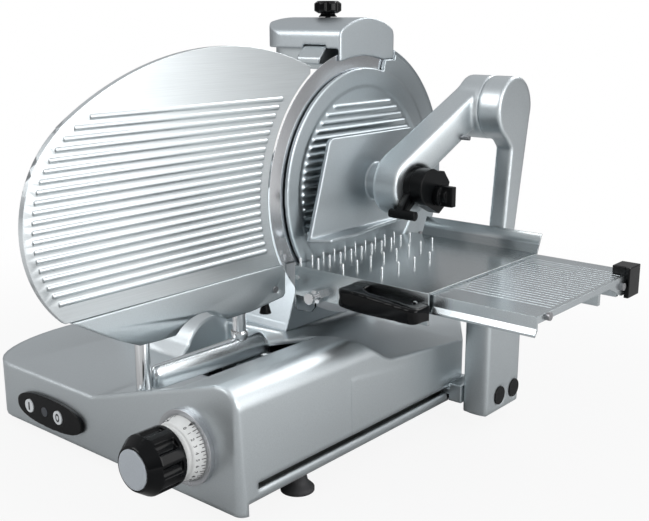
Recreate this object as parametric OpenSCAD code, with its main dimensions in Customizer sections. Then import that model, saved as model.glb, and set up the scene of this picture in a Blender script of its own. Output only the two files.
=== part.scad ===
// Vertical meat slicer with a straight feed carriage, in millimetres.
// Modelling axes: X crosses the blade and points to the product side, Y runs along the
// blade and points away from the operator, Z is up. The blade centre is at zero while
// modelling, and stand() then moves everything over the resting point.

/* [Blade] */
// Radius of the round blade
blade_r = 175; // [165:1:180]
// Thickness of the blade
blade_t = 4; // [3:0.5:5]
// Radius of the blade's centre bore
blade_bore_r = 20; // [16:1:24]
// Width of the blade's rim outside the cover disc
rim_w = 24; // [19:1:36]
// Thickness of the cover disc
cover_t = 4.5; // [4:0.5:5]
// Radius of the blade shaft
shaft_r = 12; // [9:1:14]
// Outer radius of the shaft bearings
bearing_r = 27; // [22:1:30]
// Radius of the pulley on the blade shaft
big_pulley_r = 42; // [34:1:46]
// Radius of the pulley on the motor shaft
small_pulley_r = 21; // [16:1:24]
// Radius of the drive motor
motor_r = 39; // [32:1:42]
// Length of the drive motor
motor_len = 120; // [90:1:130]

/* [Base casting] */
// Height of the blade centre above the table top it stands on
centre_h = 293; // [288:1:310]
// Drop from the blade centre to the low left deck
deck_drop = 212; // [208:1:216]
// Drop from the blade centre to the crest of the right hump
crest_drop = 146; // [142:1:150]
// Drop from the blade centre to the lower edge of the front panel
front_drop = 283; // [280:1:286]
// Height of the side walls' lower edge over the table top
wall_rise = 24; // [21:1:27]
// Distance from the blade centre to the front panel
base_front = 380; // [376:1:390]
// Distance from the blade centre to the back wall
base_back = 112; // [106:1:124]
// Distance from the cutting plane to the right wall
base_right = 150; // [146:1:156]
// Distance from the cutting plane to the left wall at the front
base_left_front = 266; // [255:1:275]
// Distance from the cutting plane to the left wall at the back
base_left_back = 341; // [330:1:355]
// Wall thickness of the castings
wall = 5; // [4:0.5:6]
// Radius of the foot pads
foot_r = 19; // [15:1:22]

/* [Gauge plate] */
// Thickness of the gauge plate
gauge_t = 7; // [6:0.5:9]
// Gap between the blade edge and the curved edge of the gauge plate
gauge_gap = 3; // [2:0.5:6]
// Reach of the gauge plate in front of the blade centre
gauge_reach = 513; // [500:1:525]
// Height of the gauge plate above the blade centre
gauge_top = 183.5; // [178:0.5:186]
// Drop from the blade centre to the lower edge of the gauge plate
gauge_drop = 82; // [80:1:85]
// Distance between two ribs of the gauge plate
rib_pitch = 9.5; // [8.5:0.1:10.5]
// Number of ribs on the gauge plate
rib_count = 20; // [12:1:20]
// Radius of the half round ribs
rib_r = 3.4; // [2.5:0.1:4]
// Radius of the two gauge legs
leg_r = 8.5; // [7:0.5:10]
// Travel of the gauge plate away from the cutting plane
gauge_travel = 16; // [10:1:16]

/* [Thickness dial] */
// Radius of the thickness knob
knob_r = 33; // [28:1:36]
// Length of the thickness knob
knob_len = 44; // [38:1:50]
// Radius of the numbered dial at the panel
dial_r = 35.5; // [33:0.5:37]
// Length of the numbered dial
dial_len = 26; // [20:1:30]
// Radius of the steel bezel round the dial
bezel_r = 42; // [40:1:46]
// Radius of the thickness shaft
screw_r = 6; // [4:0.5:7]

/* [Switches] */
// Length of the switch panel
panel_len = 131; // [120:1:140]
// Height of the switch panel
panel_h = 39; // [34:1:42]
// Height of the panel's middle over the lower edge of the front wall
panel_rise = 29; // [26:1:32]
// Thickness of the switch panel
panel_t = 5; // [4:0.5:7]
// Radius of the push buttons
button_r = 8.5; // [7:0.5:10]
// Radius of the pilot lamp
lamp_r = 6; // [4:0.5:7]
// Travel of the push buttons
button_travel = 2.5; // [1.5:0.5:3]

/* [Product table] */
// Gap between the cutting plane and the inner edge of the table
table_gap = 8.5; // [8:0.5:12]
// Width of the table across the blade
table_w = 200; // [192:1:206]
// Distance from the blade centre to the front of the table
table_front = 140; // [134:1:146]
// Distance from the blade centre to the back of the table
table_back = 110; // [106:1:112]
// Drop from the blade centre to the top of the table
table_drop = 84.5; // [83:0.5:86]
// Sheet thickness of the table
sheet_t = 2.5; // [2:0.5:3]
// Height of the front flange
flange_h = 38; // [34:1:42]
// Height of the leaning back flange
back_flange_h = 24; // [20:1:28]
// Lean of the back flange
back_flange_lean = 9; // [6:1:11]
// Radius of the grip pins
pin_r = 1.5; // [1:0.1:2]
// Height of the grip pins
pin_h = 10; // [8:0.5:13]
// Travel of the latch pin
latch_travel = 6; // [4:0.5:8]
// Length of the pull out tray
tray_len = 152; // [140:1:160]
// How far the tray is pulled out
tray_out = 131; // [120:1:132]

/* [Carriage] */
// Radius of the main carriage rod
rod_r = 11; // [9:0.5:12]
// Radius of the second carriage rod
side_rod_r = 8; // [6:0.5:9]
// Width of the carriage post across the blade
post_w = 35; // [31:1:38]
// Depth of the carriage post along the blade
post_d = 83; // [76:1:86]
// Gap between the base wall and the carriage post
post_gap = 22; // [18:1:26]
// Radius of the feed rod behind the table
feed_rod_r = 9; // [7:0.5:10]

/* [Meat press] */
// Radius of the hub on the press arm
hub_r = 40; // [36:1:42]
// Length of the hub on the press arm
hub_len = 36; // [32:1:38]
// Radius of the pivot head
head_r = 42; // [38:1:44]
// Distance from the blade centre back to the pivot axis
pivot_y = 140; // [134:1:146]
// Height of the pivot axis over the blade centre
pivot_z = 97; // [92:1:102]
// Distance from the cutting plane to the face of the press plate
press_x = 24; // [20:1:28]
// Thickness of the press plate
press_t = 5; // [4:0.5:6]
// Height of the press plate
press_h = 125; // [115:1:128]
// Reach of the press plate in front of the blade centre
press_front = 130; // [120:1:136]
// Reach of the press plate behind the blade centre
press_back = 100; // [90:1:104]
// Radius of the pivot shaft
pivot_r = 12; // [9:0.5:14]

/* [Sharpener] */
// Length of the sharpener cover across the blade
cap_len = 144; // [130:1:150]
// Width of the sharpener cover along the blade
cap_w = 114; // [106:1:118]
// Height of the sharpener cover over the edge of the blade
cap_rise = 39; // [36:1:44]
// Lift of the sharpener cover
cap_lift = 25; // [15:1:28]
// Radius of the fluted sharpener knob
cap_knob_r = 18; // [15:0.5:20]

/* [Fits] */
// Radial running gap of shafts in bores
run_gap = 0.05; // [0.03:0.01:0.1]
// Radial gap of rods and shafts that are pressed or clamped in
seat_gap = 0.02; // [0.01:0.01:0.04]
// Free gap between pieces that move past each other
free_gap = 0.35; // [0.3:0.05:0.5]

/* [Hidden] */
$fn = 64;
// Overrun of every cut
over = 1;
// Number of flats on one quarter turn of an outline arc
arc_steps = 10;

// Sizes that follow the driving ones
cover_r = blade_r - rim_w;
wall_drop = centre_h - wall_rise;

// Placing of the whole object over its resting point
box_left = base_left_back;
tray_end_x = table_gap + table_w + tray_out;
end_cap_t = 6;
box_right = tray_end_x + end_cap_t;
box_front = gauge_reach;
guard_t = 5;
guard_gap = 4;
guard_r = blade_r + guard_t + guard_gap;
box_back = max(guard_r, pivot_y + head_r);
box_mid_x = (box_right - box_left) / 2;
box_mid_y = (box_back - box_front) / 2;

// Base casting details
hump_r = 24;
wall_draft = 4;
kink_x = -95;
crest_x = base_right - wall_draft - hump_r;
hump_back = 190;
hump_run = 75;
hump_low_drop = 181;
hump_end_drop = 196;
wall_end = 30;
corner_r = 42;
left_round = 140;
right_round = 11;
plateau_edge_r = 15;
plateau_left = -116;
plateau_front = 132;
plateau_corner_x = 62;
plateau_corner_y = 200;
bulge_y = -170;
bulge_r = 44;
bulge_left = -250;
bulge_right = -112;
bulge_back = -40;
pocket_left = -76;
pocket_right = 26;
pocket_drop = 204;
pocket_front = 372;
pocket_back = 150;
slot_drop = 251.5;
slot_h = 8;
rim_end = -4;
deck_slack = 7;
deck_slot_front = 262;
deck_slot_back = 160;

// Blade drive details
hub_gap = 6;
flange_r = 34;
flange_t = 6;
bearing_t = 12;
pulley_t = 16;
bearing_1_x = -36;
bearing_2_x = -62;
pulley_x = -84;
motor_y = -110;
motor_drop = 228;
motor_left = -240;
belt_t = 2.4;
screw_circle_r = 27;
blade_screw_r = 2.5;
blade_screw_head_r = 4.4;

// Blade housing details
guard_lip_t = 2.5;
guard_lip_x = 1;
plate_back_x = -20;
plate_front_x = -15;
housing_disc_r = cover_r + over;
neck_left = -112;
neck_front = 127;
neck_back = 60;
neck_top_r = 60;
cover_x = 1.6;
recess_lead = 23;
recess_r = cover_r - recess_lead;
recess_t = 1.6;

// Gauge details
gauge_big_r = 380.5;
gauge_big_y = -242;
gauge_small_r = 127;
gauge_small_z = 11;
gauge_split_y = -464;
beam_t = 30;
beam_seam = 0.3;
leg_x = -20;
leg_front_y = -362;
leg_back_y = -211;
leg_foot_drop = 199;
arm_half_t = 17;
arm_top_drop = 166;
arm_low_drop = 192;
arm_back_y = -166;
gauge_rod_r = 9;
gauge_rod_y = -212;
gauge_rod_drop = 244;

// Dial details
dial_x = 70;
dial_drop = 225;
panel_x = -176.5;
panel_drop = front_drop - panel_rise;
start_x = panel_x - panel_len * 0.3;
stop_x = panel_x + panel_len * 0.15;
lamp_x = panel_x - panel_len * 0.06;

// Table and carriage details
table_left = table_gap;
table_right = table_gap + table_w;
post_left = base_right + post_gap;
post_right = post_left + post_w;
post_front_y = -3;
post_back_y = post_front_y + post_d;
post_foot_drop = 279;
rod_x = 104;
rod_drop = 238;
side_rod_x = 30;
side_rod_drop = 246;
slide_front_y = -6;
slide_back_y = 52;
tray_x0 = tray_end_x - tray_len;
tray_top_drop = table_drop + sheet_t + free_gap;
tray_side_gap = 4;
tray_back_lead = 5;
tray_front = table_front - sheet_t - tray_side_gap;
tray_back = table_back + tray_back_lead;
pad_left = 20;
pad_right = 74;
head_plate_t = 14;
head_gap = 24;
head_plate_top_drop = table_drop + sheet_t + head_gap;
feed_lead = 26;
feed_y = table_back + feed_lead;
feed_drop = 108;
feed_left = 84;
feed_right = 236;

// Meat press details
upright_right = 150;
upright_w = 24;
head_len = 33;
head_x = upright_right - head_len;
arm_right = head_x - free_gap;
arm_left = arm_right - hub_len;
hub_left = 48;
hub_right = hub_left + hub_len;
hub_y = 4;
hub_z = 5;
collar_r = 24;
stem_r = 14;
clamp_r = 24;
clamp_len = 28;
bar_r = 6;

function arc(cx, cy, r, a0, a1, steps) =
  [for (i = [0:steps]) let (a = a0 + (a1 - a0) * i / steps) [cx + r * cos(a), cy + r * sin(a)]];

module stand() {
  translate([-box_mid_x, -box_mid_y, centre_h]) children();
}

// A straight block between two corners
module block(x0, x1, y0, y1, z0, z1) {
  translate([x0, y0, z0]) cube([x1 - x0, y1 - y0, z1 - z0]);
}

// Cylinders along the three axes
module x_rod(x0, x1, r, y, z) {
  translate([x0, y, z]) rotate([0, 90, 0]) cylinder(h = x1 - x0, r = r);
}

module y_rod(y0, y1, r, x, z) {
  translate([x, y0, z]) rotate([-90, 0, 0]) cylinder(h = y1 - y0, r = r);
}

module z_rod(z0, z1, r, x, y) {
  translate([x, y, z0]) cylinder(h = z1 - z0, r = r);
}

// A side outline, Y and Z, run along X
module side_prism(x0, x1) {
  translate([x0, 0, 0]) rotate([90, 0, 90]) linear_extrude(x1 - x0) children();
}

// A front outline, X and Z, run along Y
module front_prism(y0, y1) {
  translate([0, y1, 0]) rotate([90, 0, 0]) linear_extrude(y1 - y0) children();
}

// A plan outline, X and Y, run along Z
module plan_prism(z0, z1) {
  translate([0, 0, z0]) linear_extrude(z1 - z0) children();
}

// Base casting

function hump_drop(y) =
  let (t = min(max((y + hump_back) / hump_run, 0), 1))
  crest_drop - over + (hump_low_drop - crest_drop + over) * (1 - cos(180 * t)) / 2;

module base_plan(inset) {
  polygon(concat(
    [for (i = [0:arc_steps]) let (a = 270 - 90 * i / arc_steps)
      [-base_left_front + (base_left_back - base_left_front - inset) * cos(a),
       -base_front + left_round + (left_round - inset) * sin(a)]],
    arc(-base_left_back + corner_r, base_back - corner_r, corner_r - inset, 180, 90, arc_steps),
    [[base_right * 0.62 - inset, base_back - inset]],
    [[base_right - inset, wall_end - inset * 0.6]],
    arc(base_right - right_round, -base_front + right_round, right_round - inset, 360, 270, arc_steps)
  ));
}

// The ramp and the round hump as seen from the front
module ramp_outline(inset) {
  slope = (deck_drop - crest_drop) / (crest_x - kink_x - hump_r / 3);
  polygon(concat(
    [[-base_left_back, -front_drop - over]],
    [[-base_left_back, -deck_drop - inset]],
    [[kink_x, -deck_drop - inset]],
    [[crest_x - hump_r / 3, -crest_drop - inset - slope]],
    arc(crest_x, -crest_drop - hump_r, hump_r - inset, 90, 8, arc_steps),
    [[base_right - inset, -front_drop - over]]
  ));
}

// The height of the body as seen from the side
module side_outline(inset) {
  polygon(concat(
    [[-base_front - over, -front_drop - over]],
    [[-base_front - over, -crest_drop + over - inset]],
    [for (i = [0:arc_steps]) let (y = -hump_back + hump_run * i / arc_steps) [y, -hump_drop(y) - inset]],
    [[wall_end, -hump_end_drop - inset]],
    [[base_back + over, -hump_end_drop - inset]],
    [[base_back + over, -front_drop - over]]
  ));
}

module plateau_outline(inset) {
  polygon([
    [plateau_left + inset, -plateau_front * 1.1 + inset], [neck_right_x(), -plateau_front + inset],
    [plateau_corner_x, -plateau_corner_y + inset], [base_right + over, -plateau_corner_y + inset],
    [base_right + over, base_back + over], [plateau_left + inset, base_back + over]
  ]);
}

// The plateau as seen from the front: its outer edge is round and meets the leaning wall
module plateau_section(inset) {
  lean = wall_draft * (front_drop - hump_low_drop) / (front_drop - crest_drop);
  polygon(concat(
    [[plateau_left, -front_drop]],
    [[plateau_left, -inset]],
    arc(base_right - lean - plateau_edge_r, -plateau_edge_r, plateau_edge_r - inset, 90, 2, arc_steps),
    [[base_right - inset, hump_low_drop - front_drop - over], [base_right - inset, -front_drop]]
  ));
}

function neck_right_x() = plate_back_x - hub_gap / 2;

// The low bulge over the motor
module bulge_outline(inset) {
  polygon(concat(
    [[bulge_y - bulge_r * 1.6 + inset, -deck_drop - bulge_r]],
    [[bulge_y - bulge_r * 1.6 + inset, -deck_drop - bulge_r / 4]],
    arc(bulge_y, -deck_drop, bulge_r - inset, 160, 90, arc_steps),
    arc(bulge_back - bulge_r, -deck_drop, bulge_r - inset, 90, 20, arc_steps),
    [[bulge_back - inset, -deck_drop - bulge_r]]
  ));
}

plateau_fall = atan((hump_end_drop - hump_low_drop) / (wall_end + hump_back - hump_run));

// The outer form, or the inner core when inset by the wall
module base_form(inset) {
  intersection() {
    plan_prism(-front_drop - (inset > 0 ? over : 0), 0) base_plan(inset);
    union() {
      intersection() {
        front_prism(-base_front, base_back) ramp_outline(inset);
        side_prism(-base_left_back, base_right) side_outline(inset);
      }
      intersection() {
        plan_prism(-front_drop - over, -hump_low_drop - inset) plateau_outline(inset);
        side_prism(-base_left_back, base_right) side_outline(inset);
        // It falls towards the back as the wall does
        translate([0, -hump_back + hump_run, -hump_low_drop]) rotate([-plateau_fall, 0, 0])
          front_prism(-base_front, base_front) plateau_section(inset);
      }
      // Level seat of the blade neck
      block(plateau_left + inset, plate_back_x - inset, -neck_front - wall + inset,
        neck_back + wall - inset, -front_drop - over, -hump_low_drop - inset);
      side_prism(bulge_left + inset, bulge_right - inset) bulge_outline(inset);
    }
  }
}

// The hollow for the gauge legs between the ramp and the deck
module leg_pocket(grow) {
  front_prism(-pocket_front - grow, -pocket_back) polygon([
    [pocket_left - grow * 3, -crest_drop], [pocket_left - grow, -pocket_drop - grow],
    [pocket_right, -pocket_drop - grow], [pocket_right + hump_r * 1.6 + grow, -crest_drop]
  ]);
}

web_t = 8;
slot_front_y = -base_front + wall * 5;
web_front_y = -base_front + wall;
web_back_y = 66;

module rod_web(y0) {
  intersection() {
    block(side_rod_x - side_rod_r * 2.5, rod_x + rod_r * 1.9, y0, y0 + web_t,
      -wall_drop + wall, -hump_low_drop - wall / 2);
    base_form(0);
  }
}

module base_housing() {
  color("silver") stand() difference() {
    union() {
      difference() {
        base_form(0);
        difference() {
          base_form(wall);
          leg_pocket(wall);
        }
        leg_pocket(0);
        // Side walls end above the lower edge of the front panel
        block(-base_left_front, base_right + over, -base_front + wall * 2, base_back + over,
          -front_drop - over * 2, -wall_drop);
        block(-base_left_back - over, base_right, -base_front + left_round, base_back + over,
          -front_drop - over * 2, -wall_drop);
      }
      rod_web(web_front_y);
      rod_web(web_back_y);
      // Boss for the gauge rod under the deck
      intersection() {
        block(kink_x - web_t, kink_x, gauge_rod_y - gauge_rod_r * 2, gauge_rod_y + gauge_rod_r * 2,
          -gauge_rod_drop - gauge_rod_r * 1.6, -deck_drop);
        base_form(0);
      }
    }
    // Slot in the right wall for the carriage, over a rim that ends short of the carriage
    block(base_right * 0.6, base_right + over, slot_front_y, slide_back_y + free_gap * 4,
      -slot_drop - slot_h, -slot_drop);
    block(base_right * 0.6, base_right + over, rim_end, slide_back_y + free_gap * 4,
      -wall_drop - over, -slot_drop);
    // Slot in the deck for the gauge arm
    block(leg_x - arm_half_t - gauge_travel - deck_slack, leg_x + arm_half_t + deck_slack,
      -deck_slot_front, -deck_slot_back, -deck_drop - wall * 2, -crest_drop);
    // Opening under the neck for the belt
    block(neck_left + wall, neck_right_x() - wall, -neck_front + wall, neck_back - wall,
      -deck_drop - wall * 2, -crest_drop);
    // Passage for the motor shaft
    block(bulge_right - wall * 2, neck_left + wall * 2, motor_y - small_pulley_r, motor_y + small_pulley_r,
      -deck_drop - wall * 2, -hump_low_drop - wall);
    // Hole for the cable gland
    y_rod(base_back - wall * 2, base_back + over, gland_r, gland_x, -gland_drop);
    // Bores for the rods in their webs
    y_rod(web_front_y - over, web_back_y + web_t + over, rod_r + seat_gap, rod_x, -rod_drop);
    y_rod(web_front_y - over, web_back_y + web_t + over, side_rod_r + seat_gap, side_rod_x, -side_rod_drop);
    x_rod(kink_x - web_t - over, kink_x + over, gauge_rod_r + seat_gap, gauge_rod_y, -gauge_rod_drop);
    // Hole for the thickness shaft
    y_rod(-base_front - over, -base_front + wall + web_t + over, screw_r + run_gap, dial_x, -dial_drop);
    // Holes for the switches
    for (x = [start_x, stop_x, lamp_x])
      y_rod(-base_front - over, -base_front + wall + over, button_r / 2 + free_gap, x, -panel_drop);
  }
}

plate_t = 2.5;

foot_top_drop = wall_drop + plate_t;

module base_plate() {
  color("gray") stand() difference() {
    intersection() {
      plan_prism(-foot_top_drop, -wall_drop) base_plan(wall / 2);
      block(-base_left_back, base_right, -base_front + wall * 2 + free_gap, base_back, -foot_top_drop, 0);
    }
    block(-base_left_back - over, -base_left_front + free_gap,
      -base_front, -base_front + left_round + free_gap, -foot_top_drop - over, -wall_drop + over);
    for (p = foot_places) z_rod(-foot_top_drop - over, -wall_drop + over, stud_r + seat_gap, p[0], p[1]);
  }
}

stud_r = 4;
foot_places = [
  [base_right - foot_r * 0.82, -base_front * 0.733], [-base_left_front * 0.85, -base_front * 0.8],
  [-base_left_back * 0.82, base_back * 0.45], [base_right * 0.42, base_back * 0.45]
];

module feet() {
  foot_h = centre_h - foot_top_drop;
  color("black") stand() for (p = foot_places) translate([p[0], p[1], -centre_h]) rotate_extrude()
    polygon([[stud_r, 0], [foot_r, 0], [foot_r, foot_h * 0.16], [foot_r * 0.62, foot_h * 0.5],
      [foot_r * 0.5, foot_h], [stud_r, foot_h]]);
}

module foot_studs() {
  color("lightgray") stand() for (p = foot_places)
    z_rod(-centre_h + foot_r * 0.2, -wall_drop, stud_r, p[0], p[1]);
}

gland_r = 9;
gland_x = -250;
gland_drop = 240;

module cable_gland() {
  color("black") stand() difference() {
    union() {
      y_rod(base_back - wall, base_back + gland_r * 2, gland_r, gland_x, -gland_drop);
      translate([gland_x, base_back, -gland_drop]) rotate([-90, 0, 0])
        cylinder(h = gland_r, r = gland_r * 1.5, $fn = 6);
    }
    y_rod(base_back - wall - over, base_back + gland_r * 3, gland_r * 0.4, gland_x, -gland_drop);
  }
}

// Blade housing and drive

module neck_outline(inset) {
  polygon(concat(
    [[-neck_front + inset, -hump_low_drop]],
    arc(0, 0, neck_top_r - inset, 190, -10, arc_steps * 3),
    [[neck_back - inset, -hump_low_drop]]
  ));
}

// A ring sector seen from the side, from angle a0 to a1
module ring_sector(r0, r1, a0, a1) {
  polygon(concat(arc(0, 0, r1, a0, a1, arc_steps * 6), arc(0, 0, r0, a1, a0, arc_steps * 6)));
}

guard_a0 = -40;
guard_a1 = 74;

module blade_housing() {
  hub_outer_r = bearing_r + wall;
  color("silver") stand() difference() {
    union() {
      difference() {
        side_prism(neck_left, plate_back_x) neck_outline(0);
        side_prism(neck_left + wall, plate_back_x - wall) neck_outline(wall);
        block(neck_left + wall, plate_back_x - wall, -neck_front + wall, neck_back - wall,
          -hump_low_drop - over, -hump_low_drop + wall * 2);
      }
      x_rod(plate_back_x, plate_front_x, housing_disc_r, 0, 0);
      side_prism(plate_back_x, plate_front_x) ring_sector(housing_disc_r - over, guard_r, guard_a0, guard_a1);
      side_prism(plate_back_x, guard_lip_x + guard_lip_t)
        ring_sector(guard_r - guard_t, guard_r, guard_a0, guard_a1);
      side_prism(guard_lip_x, guard_lip_x + guard_lip_t)
        ring_sector(cover_r + free_gap * 3, guard_r, guard_a0, guard_a1);
      x_rod(bearing_2_x - bearing_t, plate_back_x, hub_outer_r, 0, 0);
    }
    x_rod(bearing_2_x - bearing_t - over, plate_front_x + over, bearing_r, 0, 0);
    for (a = cover_screw_angles)
      x_rod(guard_lip_x - over, flange_x + over, blade_screw_r,
        cover_screw_circle_r * cos(a), cover_screw_circle_r * sin(a));
    // Room for the front edge of the sharpener cover
    block(-wall, guard_lip_x + guard_lip_t + over, 0, cap_y1 + free_gap * 2,
      cap_face_z - free_gap * 2, guard_r + over);
    // The lower rim stays clear of the deck
    block(neck_left - over, guard_lip_x + guard_lip_t + over, -guard_r - over, guard_r + over,
      -guard_r - over, -hump_low_drop);
  }
}

module blade_bearings() {
  color("lightsteelblue") stand() for (x = [bearing_1_x, bearing_2_x]) difference() {
    x_rod(x - bearing_t, x, bearing_r, 0, 0);
    x_rod(x - bearing_t - over, x + over, shaft_r + run_gap, 0, 0);
  }
}

module blade() {
  edge_t = blade_t / 10;
  bevel_r = blade_r * 0.89;
  color("gainsboro") stand() rotate([0, 90, 0]) difference() {
    rotate_extrude($fn = 128) polygon([
      [blade_bore_r, -blade_t], [bevel_r, -blade_t], [blade_r, -edge_t], [blade_r, 0],
      [bevel_r, 0], [bevel_r * 0.97, -blade_t * 0.12], [blade_bore_r, -blade_t * 0.12]
    ]);
    for (a = [0:120:240]) rotate([0, 0, a]) translate([screw_circle_r, 0, -blade_t - over])
      cylinder(h = blade_t + over * 2, r = blade_screw_r + run_gap);
  }
}

module blade_shaft() {
  color("silver") stand() difference() {
    union() {
      x_rod(pulley_x - pulley_t - wall, -blade_t, shaft_r, 0, 0);
      x_rod(-blade_t - flange_t, -blade_t, flange_r, 0, 0);
      x_rod(-blade_t - over, -blade_t * 0.3, blade_bore_r - run_gap, 0, 0);
    }
    rotate([0, 90, 0]) for (a = [0:120:240]) rotate([0, 0, a])
      translate([screw_circle_r, 0, -blade_t - flange_t - over])
        cylinder(h = flange_t + over * 2, r = blade_screw_r);
  }
}

module blade_screws() {
  color("dimgray") stand() rotate([0, 90, 0]) for (a = [0:120:240]) rotate([0, 0, a])
    translate([screw_circle_r, 0, 0]) union() {
      translate([0, 0, -blade_t - flange_t]) cylinder(h = blade_t + flange_t, r = blade_screw_r);
      translate([0, 0, -blade_t * 0.12]) cylinder(h = blade_t * 0.3, r = blade_screw_head_r);
    }
}

module blade_pulley() {
  color("slategray") stand() difference() {
    x_rod(pulley_x - pulley_t, pulley_x, big_pulley_r, 0, 0);
    x_rod(pulley_x - pulley_t - over, pulley_x + over, shaft_r + seat_gap, 0, 0);
  }
}

motor_shaft_r = 6;

module drive_motor() {
  color("dimgray") stand() difference() {
    union() {
      x_rod(motor_left, motor_left + motor_len, motor_r, motor_y, -motor_drop);
      block(motor_left + wall, motor_left + motor_len - wall,
        motor_y - motor_r * 0.8, motor_y + motor_r * 0.8,
        -wall_drop + plate_t, -motor_drop - motor_r / 2);
    }
    x_rod(motor_left + motor_len * 0.6, motor_left + motor_len + over, motor_shaft_r + run_gap,
      motor_y, -motor_drop);
  }
}

module motor_pulley() {
  color("slategray") stand() union() {
    x_rod(pulley_x - pulley_t, pulley_x, small_pulley_r, motor_y, -motor_drop);
    x_rod(motor_left + motor_len * 0.6 + free_gap, pulley_x - pulley_t + over, motor_shaft_r,
      motor_y, -motor_drop);
  }
}

// The belt's inner line runs round both pulleys, joined by its outer tangents
module belt_outline(grow) {
  gap = free_gap + grow;
  d = sqrt(motor_y * motor_y + motor_drop * motor_drop);
  dir = atan2(-motor_drop, motor_y);
  wrap = acos((big_pulley_r - small_pulley_r) / d);
  polygon(concat(
    arc(0, 0, big_pulley_r + gap, dir + wrap, dir + 360 - wrap, arc_steps * 4),
    arc(motor_y, -motor_drop, small_pulley_r + gap, dir - wrap, dir + wrap, arc_steps * 2)
  ));
}

module drive_belt() {
  color("black") stand() side_prism(pulley_x - pulley_t * 0.85, pulley_x - pulley_t * 0.15) difference() {
    belt_outline(belt_t);
    belt_outline(0);
  }
}

// The rim sector that lies on the guard lip and carries the screws
flange_x = guard_lip_x + guard_lip_t;
cover_flange_t = 1.6;
cover_flange_r = guard_r - guard_t;
cover_screw_circle_r = (cover_r + cover_flange_r) / 2;
cover_screw_angles = [-34, -10, 14];

module cover_rib(z) {
  half = sqrt(pow(recess_r - rib_r * 2.4, 2) - z * z);
  y_rod(-half, half, rib_r * 0.6, cover_x + cover_t - recess_t, z);
}

module blade_cover() {
  ribs_above = floor((recess_r - rib_pitch * 2) / rib_pitch);
  ribs_below = floor(recess_r / 2 / rib_pitch);
  color("silver") stand() difference() {
    union() {
      difference() {
        x_rod(cover_x, cover_x + cover_t, cover_r, 0, 0, $fn = 128);
        x_rod(cover_x + cover_t - recess_t, cover_x + cover_t + over, recess_r, 0, 0, $fn = 128);
      }
      side_prism(flange_x, flange_x + cover_flange_t)
        ring_sector(cover_r - over, cover_flange_r, guard_a0, guard_a1);
      for (i = [-ribs_below:ribs_above]) cover_rib(i * rib_pitch);
    }
    block(flange_x - over, flange_x + cover_flange_t + over, 0, cap_y1 + free_gap * 2,
      cap_face_z - free_gap * 2, guard_r + over);
    for (a = cover_screw_angles)
      x_rod(flange_x - over, flange_x + cover_flange_t + over, blade_screw_r,
        cover_screw_circle_r * cos(a), cover_screw_circle_r * sin(a));
  }
}

module cover_screws() {
  color("dimgray") stand() for (a = cover_screw_angles)
    translate([0, cover_screw_circle_r * cos(a), cover_screw_circle_r * sin(a)]) union() {
      x_rod(guard_lip_x, flange_x + cover_flange_t, blade_screw_r, 0, 0);
      x_rod(flange_x + cover_flange_t, flange_x + cover_flange_t * 2, blade_screw_head_r, 0, 0);
    }
}

// Sharpener on top of the guard

cap_top = blade_r + cap_rise;
cap_x1 = 4;
cap_x0 = cap_x1 - cap_len;
cap_y0 = -cap_w * 0.42;
cap_y1 = cap_y0 + cap_w;
cap_wall = 3.5;
cap_foot_z = cap_top - cap_w * 0.342;
cap_face_z = cap_top - cap_w * 0.472;
cap_rim_r = blade_r - cap_w * 0.083;
cap_crown_r = cap_w * 0.92;
post_x = cap_x1 - cap_len * 0.47;
post_y = (cap_y0 + cap_y1) / 2;
post_r = 7;
base_top_z = cap_foot_z + cap_wall;
finger_x0 = -58;
finger_x1 = -20.5;
finger_y = cap_y0 - cap_wall * 3.4;

module sharpener_base() {
  base_x1 = plate_back_x - free_gap;
  foot_z = housing_disc_r * 0.98;
  color("silver") stand() difference() {
    union() {
      intersection() {
        block(cap_x0, base_x1, cap_y0, cap_y1, foot_z, base_top_z);
        plan_prism(foot_z, base_top_z) cap_plan(cap_wall * 2.5);
      }
      // Bracket down to the housing disc
      block(plate_back_x - wall * 4, plate_back_x, -wall * 3, wall * 5, cover_r * 0.88, foot_z + wall);
      // Truing finger, sloping down towards the operator
      side_prism(finger_x0, finger_x1) polygon([
        [0, foot_z + wall], [finger_y, foot_z + wall * 1.6], [finger_y, foot_z + wall * 3],
        [cap_y0 + cap_wall, cap_foot_z + cap_wall * 1.2], [0, cap_foot_z + cap_wall * 1.2]
      ]);
      z_rod(base_top_z - over, cap_top - cap_wall - free_gap * 3, post_r, post_x, post_y);
    }
    z_rod(foot_z - over, cap_top, post_r / 2, post_x, post_y);
  }
}

// The domed cover as seen along X: one wide arc that runs into round shoulders
module cap_outline(inset, low_z) {
  round_r = cap_w * 0.1;
  reach = cap_w / 2 - round_r;
  half_angle = asin(reach / (cap_crown_r - round_r));
  crown_z = cap_top - cap_crown_r;
  shoulder_z = crown_z + (cap_crown_r - round_r) * cos(half_angle);
  polygon(concat(
    [[cap_y0 + inset, low_z]],
    arc(cap_y0 + round_r, shoulder_z, round_r - inset, 180, 90 + half_angle, arc_steps),
    arc(post_y, crown_z, cap_crown_r - inset, 86 + half_angle, 94 - half_angle, arc_steps),
    arc(cap_y1 - round_r, shoulder_z, round_r - inset, 90 - half_angle, 0, arc_steps),
    [[cap_y1 - inset, low_z]]
  ));
}

// Its far end is round as seen from the front too
module cap_profile(inset) {
  round_r = cap_w * 0.15;
  polygon(concat(
    [[cap_x0 + inset, 0]],
    arc(cap_x0 + round_r, cap_top - round_r, round_r - inset, 180, 90, arc_steps),
    [[cap_x1 - inset, cap_top - inset], [cap_x1 - inset, 0]]
  ));
}

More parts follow.
